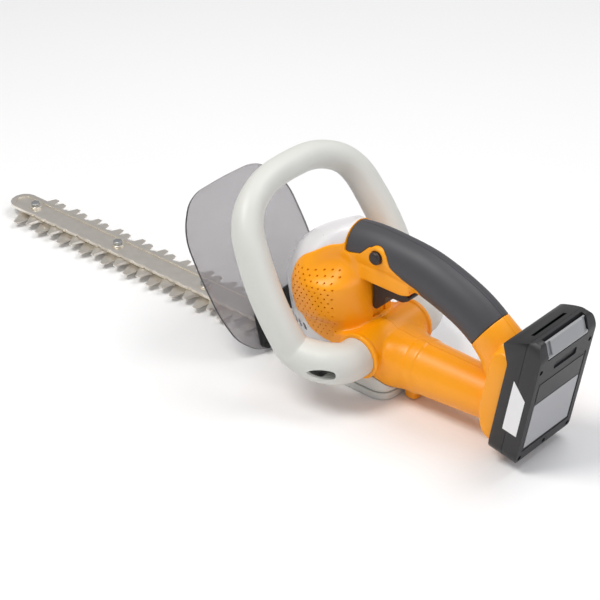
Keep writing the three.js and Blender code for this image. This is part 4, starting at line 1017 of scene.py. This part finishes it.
class TRIMMER_OT_shield(bpy.types.Operator):
    """Models the clear hand shield and the bracket that holds it"""

    bl_idname = "trimmer.shield"
    bl_label = "Hand shield and bracket"

    def execute(self, context):
        s = context.scene.trimmer_sizes
        place = leaning(32, 0)
        mirrored = [(-y, up) for y, up in reversed(SHIELD_CORNERS[:-1])]
        outline = [*SHIELD_CORNERS, *mirrored, (-19, 20), (19, 20)]
        pane = bevelled(prism(outline, place, 0, 2.6, 9, 6), s.shield_bevel, 2, 60)
        for y, up in SHIELD_SCREWS:
            pane = cut(pane, bar(place(y, up, -2), place(y, up, 10), SCREW_HOLE, 24))
        finished(pane, "shield_pane", "tool", "shield_clear", ["shield"], 30)
        # Painted shade: the pane's edge faces get an opaque dark colour in place of the tint seen through the
        # clear sheet's edge.
        pane.data.materials.append(material("shield_edge_painted_shade"))
        square = Vector((math.cos(LEAN), 0, -math.sin(LEAN)))
        for face in pane.data.polygons:
            face.material_index = 1 if abs(face.normal.dot(square)) < 0.9 else 0
        points = [
            (24, -3), (39, 8), (32, 36), (22, 44), (-22, 44), (-32, 36), (-39, 8), (-24, -3), (-17, -3),
            (-17, 24), (17, 24), (17, -3),
        ]
        plate = bevelled(prism(points, place, -6, -1.1, 3, 5), 0.8, 3, 60)
        nose = kept_in(
            box(32.3, 48, -26, 26, 21, 31),
            prism([(-40, -10), (40, -10), (40, 60), (-40, 60)], place, -60, -3),
        )
        bracket = joined(plate, nose)
        bracket = cut(
            bracket, box(-200, 32.3, -60, 60, -5, 35), pod(-GAP, 48), box(0, 200, -60, 60, -30, 0.6),
        )
        for y, up in SHIELD_SCREWS:
            bracket = cut(bracket, bar(place(y, up, -5), place(y, up, 10), SCREW_HOLE, 24))
        finished(bracket, "bracket_shield", "tool", "black_plastic", ["shield_bracket"])
        for name, (y, up) in zip(("left", "right"), SHIELD_SCREWS):
            head = bevelled(bar(place(y, up, 2.9), place(y, up, 5.3), 3.3, 48), 0.7, 3, 60)
            head = joined(head, bar(place(y, up, -4.4), place(y, up, 3.9), 1.6, 24))
            head = cut(head, cross_slot(place(y, up, 5.4), square * -1, 2.0))
            finished(head, f"screw_shield_{name}", "tool", "screw_steel", [f"shield_screw_{name}"])
        return {"FINISHED"}


def cross_slot(tip, inward, reach):
    """A cross-shaped pocket cut into a screw head from its tip."""
    frame_of_head = inward.to_track_quat("Z", "Y").to_matrix().to_4x4()
    parts = []
    for long_x, long_y in ((reach, 0.45), (0.45, reach)):
        bpy.ops.mesh.primitive_cube_add(size=1, location=(0, 0, 0))
        part = bpy.context.active_object
        part.data.transform(Matrix.Diagonal((2 * long_x * MM, 2 * long_y * MM, 2.6 * MM, 1)))
        part.data.transform(Matrix.Translation(tip * MM) @ frame_of_head)
        parts.append(part)
    return joined(parts[0], parts[1])


# ---------------------------------------------------------------- blades and guide bar

def tooth_outline(reach, shift, inset):
    """The blade's toothed part; an inset draws the tooth's sides in, for the ground edge."""
    half_root = 8.6 - inset
    half_tip = max(0.6, 2.4 - 0.55 * inset)
    slant = -1.6
    tip = reach - 0.6 * inset
    start = FIRST_TOOTH + shift - TOOTH_PITCH / 2
    end = FIRST_TOOTH + (TOOTH_COUNT - 1) * TOOTH_PITCH + shift + TOOTH_PITCH / 2 - 2
    left = []
    for i in range(TOOTH_COUNT):
        x = FIRST_TOOTH + shift + i * TOOTH_PITCH
        left += [
            (x - half_root, BLADE_HALF), (x - half_tip + slant, tip),
            (x + half_tip + slant, tip), (x + half_root, BLADE_HALF),
        ]
    right = [(x, -y) for x, y in reversed(left)]
    return [(start, -BLADE_HALF), (start, BLADE_HALF), *left, (end, 8), (end, -8), *right]


def blade(z, reach, shift, up):
    """A blade with its yoke, slots and ground cutting edges; up says which face the grinding leans to."""
    top = z + BLADE_THICK
    levels = ((z, 0), (z + 0.7, 0), (top, 1.5)) if up else ((z, 1.5), (z + 1.5, 0), (top, 0))
    teeth = loft([
        [Vector((x, y, level)) for x, y in tooth_outline(reach, shift, inset)] for level, inset in levels
    ])
    start = FIRST_TOOTH + shift - TOOTH_PITCH / 2
    yoke = prism(
        [(-24.5, -19.5), (20.5, -19.5), (24.5, -BLADE_HALF), (start + 1, -BLADE_HALF),
         (start + 1, BLADE_HALF), (24.5, BLADE_HALF), (20.5, 19.5), (-24.5, 19.5)], flat, z, top,
    )
    window = prism([(-20.5, -15.5), (20.5, -15.5), (20.5, 15.5), (-20.5, 15.5)], flat, z - 1, z + 4, 4)
    whole = cut(joined(teeth, yoke), window)
    for x in BOLT_PLACES:
        whole = cut(whole, prism(
            [(x - 7.95, -2.95), (x + 7.95, -2.95), (x + 7.95, 2.95), (x - 7.95, 2.95)],
            flat, z - 1, z + 4, 2.9,
        ))
    return whole


class TRIMMER_OT_blades(bpy.types.Operator):
    """Models both toothed blades and the guide bar over them"""

    bl_idname = "trimmer.blades"
    bl_label = "Blades and guide bar"

    def execute(self, context):
        lower = blade(4.2, 28.4, 0, False)
        finished(lower, "blade_lower", "lower_blade_slide", "blade_steel", ["lower_blade"], 12)
        upper = blade(6.7, 24.6, -13.5, True)
        finished(upper, "blade_upper", "upper_blade_slide", "blade_steel", ["upper_blade"], 12)
        outline = [(17, -BAR_HALF)]
        x = 53.0
        while x < BAR_TIP - 30:
            notch = -BAR_HALF + 1.1
            outline += [(x, -BAR_HALF), (x + 1.2, notch), (x + 4.2, notch), (x + 5.4, -BAR_HALF)]
            x += TOOTH_PITCH / 2
        nose = [
            (BAR_TIP - BAR_HALF + BAR_HALF * math.cos(a), BAR_HALF * math.sin(a))
            for a in [math.pi * (k / 24 - 0.5) for k in range(25)]
        ]
        outline += nose + [(px, -py) for px, py in reversed(outline)]
        slab = bevelled(prism(outline, flat, BAR_Z, BAR_TOP), 0.35, 2, 50)
        channel = prism(
            [(36, -8.5), (BAR_TIP - 9, -8.5), (BAR_TIP - 4, 0), (BAR_TIP - 9, 8.5), (36, 8.5)],
            flat, BAR_TOP - 1.3, BAR_TOP + 3, 2,
        )
        slab = cut(slab, channel)
        for x in BOLT_PLACES:
            boss = bevelled(bar_z(x, 0, BAR_TOP - 1.5, BAR_TOP + 0.8, 6.4, 64), 0.5, 3, 60)
            slab = cut(joined(slab, boss), bar_z(x, 0, 0, 30, 2.8, 32))
        slab = cut(slab, bar_z(BAR_SCREW_X, 0, 0, 60, SCREW_HOLE, 24))
        finished(slab, "bar_guide", "tool", "blade_steel", ["guide_bar"], 25)
        for i, x in enumerate(BOLT_PLACES):
            seat = BAR_TOP + 1.1
            head = bevelled(bar_z(x, 0, seat, seat + 2.6, 4.6, 6), 0.5, 3, 40)
            head = joined(head, bar_z(x, 0, 1.2, seat + 1, 2.5, 32))
            finished(head, f"bolt_blade_{i + 1}", "tool", "screw_steel", [f"blade_bolt_{i + 1}"])
            nut = bevelled(bar_z(x, 0, 1, 3.9, 4.6, 6), 0.4, 3, 40)
            nut = cut(nut, bar_z(x, 0, 0, 10, 2.65, 32))
            finished(nut, f"nut_blade_{i + 1}", "tool", "screw_steel", [f"blade_nut_{i + 1}"])
        return {"FINISHED"}


# ---------------------------------------------------------------- battery pack

def pack_block(inset, soft, segments):
    """The pack's outer block with rounded corners."""
    rear = -PACK_THICK + inset
    front = -GAP - inset
    top = PACK_TOP
    profile = [
        (rear, 7), (-26 + inset, 2 + inset), (-4 - inset, 2 + inset), (front, 6 + inset), (front, top - 34),
        (3 - inset, top - 27), (8 - inset, top - 16.5 - inset), (4 - inset, top - 13.5 - inset),
        (-20, top - 1 - inset), (-24 + inset, top - 2 - inset), (rear, top - 14),
    ]
    half = PACK_HALF - inset
    body = prism(profile, in_pack, -half, half, 2.5, 5)
    face = prism([(-half, 2 + inset), (half, 2 + inset), (half, top - inset), (-half, top - inset)],
                 on_pack_back, -20, 60, 12, 10)
    body = kept_in(body, face)
    return bevelled(body, soft, segments, 35) if soft else body


def pack_slab(x0, x1, y0, y1, z0, z1, radius=0.0):
    return prism([(y0, z0), (y1, z0), (y1, z1), (y0, z1)], on_pack_back, -x1, -x0, radius)


def pack_side(far, edge):
    """All of the pack's space on one side of a plane square to its slide."""
    low, high = sorted((far, edge))
    return prism([(low, -30), (high, -30), (high, 200), (low, 200)], in_pack, -100, 100)


class TRIMMER_OT_pack(bpy.types.Operator):
    """Models the battery pack's two shells, its latch bar, pockets and blank labels"""

    bl_idname = "trimmer.pack"
    bl_label = "Battery pack"

    def execute(self, context):
        split = -14.0
        top = PACK_TOP
        outer = pack_block(0, 2.2, 4)
        outer = cut(outer, pack_block(2.4, 0, 1))
        clear = cut(joined(neck(-0.45), foot(-0.45)), pack_side(-80, -0.1))
        outer = cut(outer, clear)
        front = kept_in(copied(outer, "front"), pack_side(60, split + GAP / 2))
        rail = joined(
            pack_slab(-1.3, 3.3, -16, 16, 30.45, top - 40), pack_slab(3.3, 6, -21, 21, 30.45, top - 40),
        )
        front = joined(front, rail)
        for side in (-1, 1):
            front = cut(front, pack_slab(0.6, 5.2, side * 9 - 1, side * 9 + 1, 20, 46))
        front = cut(front, pack_slab(-9.5, -6.2, -22, 22, top - 12, top + 20, 1.2))
        finished(front, "shell_pack_front", "battery_pack", "black_plastic", ["pack_front_shell"])
        rear = kept_in(outer, pack_side(-80, split - GAP / 2))
        recess = prism(
            [(-40, top - 17), (-24.2, top - 17), (-16.8, top + 3), (-40, top + 3)], in_pack, -27, 27,
        )
        housing = kept_in(
            prism(
                [(-40, top - 19.4), (-21.8, top - 19.4), (-14.4, top + 3), (-40, top + 3)],
                in_pack, -29.5, 29.5,
            ),
            pack_block(0, 0, 1),
        )
        housing = kept_in(cut(housing, copied(recess, "recess")), pack_side(-80, split - GAP / 2))
        rear = joined(cut(rear, recess), housing)
        rear = cut(rear, pack_slab(-PACK_THICK - 3, -PACK_THICK + 1.6, -15, 15, top - 32, top - 24, 2.4))
        rear = cut(rear, pack_slab(-PACK_THICK - 3, -PACK_THICK + 0.5, -32, 32, 17, top - 37, 1.5))
        for y, z in ((-33, 11), (33, 11), (-33, top - 26), (33, top - 26), (0, 11)):
            inner_end = on_pack_back(y, z, PACK_THICK - 1.4)
            rear = cut(rear, bar(inner_end, on_pack_back(y, z, PACK_THICK + 4), 2.2, 32))
        finished(rear, "shell_pack_rear", "battery_pack", "pack_grey", ["pack_rear_shell"])
        latch = prism(
            [(-29.6, top - 16), (-27.2, top - 16), (-21.2, top - 2.6), (-24, top - 2.2), (-29.4, top - 13.6)],
            in_pack, -26.4, 26.4, 0.8,
        )
        latch = bevelled(latch, 0.5, 3, 40)
        for side in (-1, 1):
            low, high = sorted((side * 26.4 + side, side * 21.5))
            notch = prism(
                [(-40, top - 13.2), (-27, top - 13.2), (-22.6, top - 4.4), (-24.5, top + 3), (-40, top + 3)],
                in_pack, low, high, 0.6,
            )
            latch = cut(latch, notch)
        finished(latch, "bar_latch", "pack_latch", "latch_grey", ["latch_bar"])
        for name, y0, y1, z0, z1, slot in (
            ("label_rear_blank", -30, 30, 20, 66, "label_grey"),
            ("label_rear_band", -30, 30, 68, 88, "label_black"),
        ):
            label = pack_slab(-PACK_THICK + 0.12, -PACK_THICK + 0.62, y0, y1, z0, z1, 1.0)
            bare(label, name, slot)
        side_label = prism(
            [(-24, 33), (-10, 33), (-10, 84), (-24, 71)], in_pack, PACK_HALF - 0.3, PACK_HALF + 0.12, 0.6,
        )
        bare(side_label, "label_side_blank", "label_white")
        return {"FINISHED"}


# ---------------------------------------------------------------- inner pieces that keep their CAD shape

class TRIMMER_OT_inner(bpy.types.Operator):
    """Gives every piece that keeps its CAD shape the material of its slot"""

    bl_idname = "trimmer.inner"
    bl_label = "Inner pieces"

    def execute(self, context):
        slots = {row["node"]: row["material_slot"] for row in frame["record"]["subparts"]}
        for name, obj in frame["nodes"].items():
            if obj.hide_render:
                continue
            obj.data.materials.clear()
            obj.data.materials.append(material(slots[name]))
        return {"FINISHED"}


# ---------------------------------------------------------------- floor, lights and camera

def lamp(name, place, aim, size, power, code):
    data = bpy.data.lights.new(name, "AREA")
    data.shape = "DISK"
    data.size = size
    data.energy = power
    data.color = linear(code)[:3]
    obj = bpy.data.objects.new(name, data)
    obj.location = place
    obj.rotation_euler = (Vector(aim) - Vector(place)).to_track_quat("-Z", "Y").to_euler()
    bpy.context.scene.collection.objects.link(obj)
    return obj


class TRIMMER_OT_stage(bpy.types.Operator):
    """Sets the pale floor, the soft studio lights and the camera"""

    bl_idname = "trimmer.stage"
    bl_label = "Floor, lights and camera"

    def execute(self, context):
        bpy.ops.mesh.primitive_plane_add(size=8, location=(0, 0, -0.0004))
        floor = context.active_object
        floor.name = "floor"
        made, tree = blank_material("painted_floor_pale")
        place = node(tree, "ShaderNodeTexCoord").outputs["Object"]
        cloud = node(tree, "ShaderNodeTexNoise", {"Vector": place, "Scale": 3.0, "Detail": 2.0})
        shade = shade_pair(tree, linear("#F2F2F3"), 0.985, 1.01, cloud.outputs["Fac"])
        shader = node(tree, "ShaderNodeBsdfPrincipled", {"Base Color": shade, "Roughness": 0.9})
        node(tree, "ShaderNodeOutputMaterial", {"Surface": shader.outputs["BSDF"]})
        floor.data.materials.append(made)
        world = context.scene.world or bpy.data.worlds.new("studio")
        context.scene.world = world
        world.use_nodes = True
        backdrop = world.node_tree.nodes["Background"]
        backdrop.inputs["Color"].default_value = linear("#FAFAFC")
        backdrop.inputs["Strength"].default_value = 0.46
        context.scene.view_settings.view_transform = "Standard"
        aim = (0.02, 0, 0.07)
        lamps = [
            lamp("key", (0.35, 0.75, 1.7), aim, 0.8, 19, "#FFFDF8"),
            lamp("fill", (-1.7, 0.2, 0.8), aim, 1.2, 6, "#F6F9FF"),
            lamp("top", (-0.4, -0.7, 1.7), aim, 1.0, 11, "#FFFFFF"),
        ]
        right, up, back, place = camera_axes()
        data = bpy.data.cameras.new("camera")
        data.lens = 134.356
        data.sensor_width = 36
        data.clip_end = 20
        camera = bpy.data.objects.new("camera", data)
        camera.matrix_world = Matrix((
            (right.x, up.x, back.x, place.x),
            (right.y, up.y, back.y, place.y),
            (right.z, up.z, back.z, place.z),
            (0, 0, 0, 1),
        ))
        context.scene.collection.objects.link(camera)
        context.scene.camera = camera
        return {"FINISHED"}


def camera_axes():
    """The camera's right, up and backward directions, and its place in metres."""
    turn = math.radians(41.8869)
    rise = math.radians(32.0082)
    roll = math.radians(-0.88995)
    level_share = math.cos(rise)
    back = Vector((-math.sin(turn) * level_share, math.cos(turn) * level_share, math.sin(rise)))
    level = (-back).cross(ALONG_Z).normalized()
    steep = level.cross(-back)
    right = level * math.cos(roll) + steep * math.sin(roll)
    up = steep * math.cos(roll) - level * math.sin(roll)
    place = right * -0.0832929 + up * 0.0738661 + back * 1.9362208
    place.x -= 0.088
    return right, up, back, place


# ---------------------------------------------------------------- panel and run

STEPS = (
    TRIMMER_OT_housing, TRIMMER_OT_cover, TRIMMER_OT_grips, TRIMMER_OT_loop, TRIMMER_OT_base,
    TRIMMER_OT_trigger, TRIMMER_OT_shield, TRIMMER_OT_blades, TRIMMER_OT_pack, TRIMMER_OT_inner,
    TRIMMER_OT_stage,
)


class TRIMMER_PT_panel(bpy.types.Panel):
    """The trimmer's settings and steps"""

    bl_label = "Hedge trimmer"
    bl_idname = "TRIMMER_PT_panel"
    bl_space_type = "VIEW_3D"
    bl_region_type = "UI"
    bl_category = "Trimmer"

    def draw(self, context):
        for group in (context.scene.trimmer_sizes, context.scene.trimmer_colours):
            for key in group.__annotations__:
                self.layout.prop(group, key)
        for step in STEPS:
            self.layout.operator(step.bl_idname)


CLASSES = (TrimmerSizes, TrimmerColours, *STEPS, TRIMMER_PT_panel)


def register():
    for one in CLASSES:
        bpy.utils.register_class(one)
    bpy.types.Scene.trimmer_sizes = bpy.props.PointerProperty(type=TrimmerSizes)
    bpy.types.Scene.trimmer_colours = bpy.props.PointerProperty(type=TrimmerColours)


def unregister():
    del bpy.types.Scene.trimmer_colours
    del bpy.types.Scene.trimmer_sizes
    for one in reversed(CLASSES):
        bpy.utils.unregister_class(one)


def main():
    register()
    for step in STEPS:
        group, name = step.bl_idname.split(".")
        if getattr(getattr(bpy.ops, group), name)() != {"FINISHED"}:
            raise RuntimeError(f"{step.bl_label} did not finish")


if __name__ == "__main__":
    main()
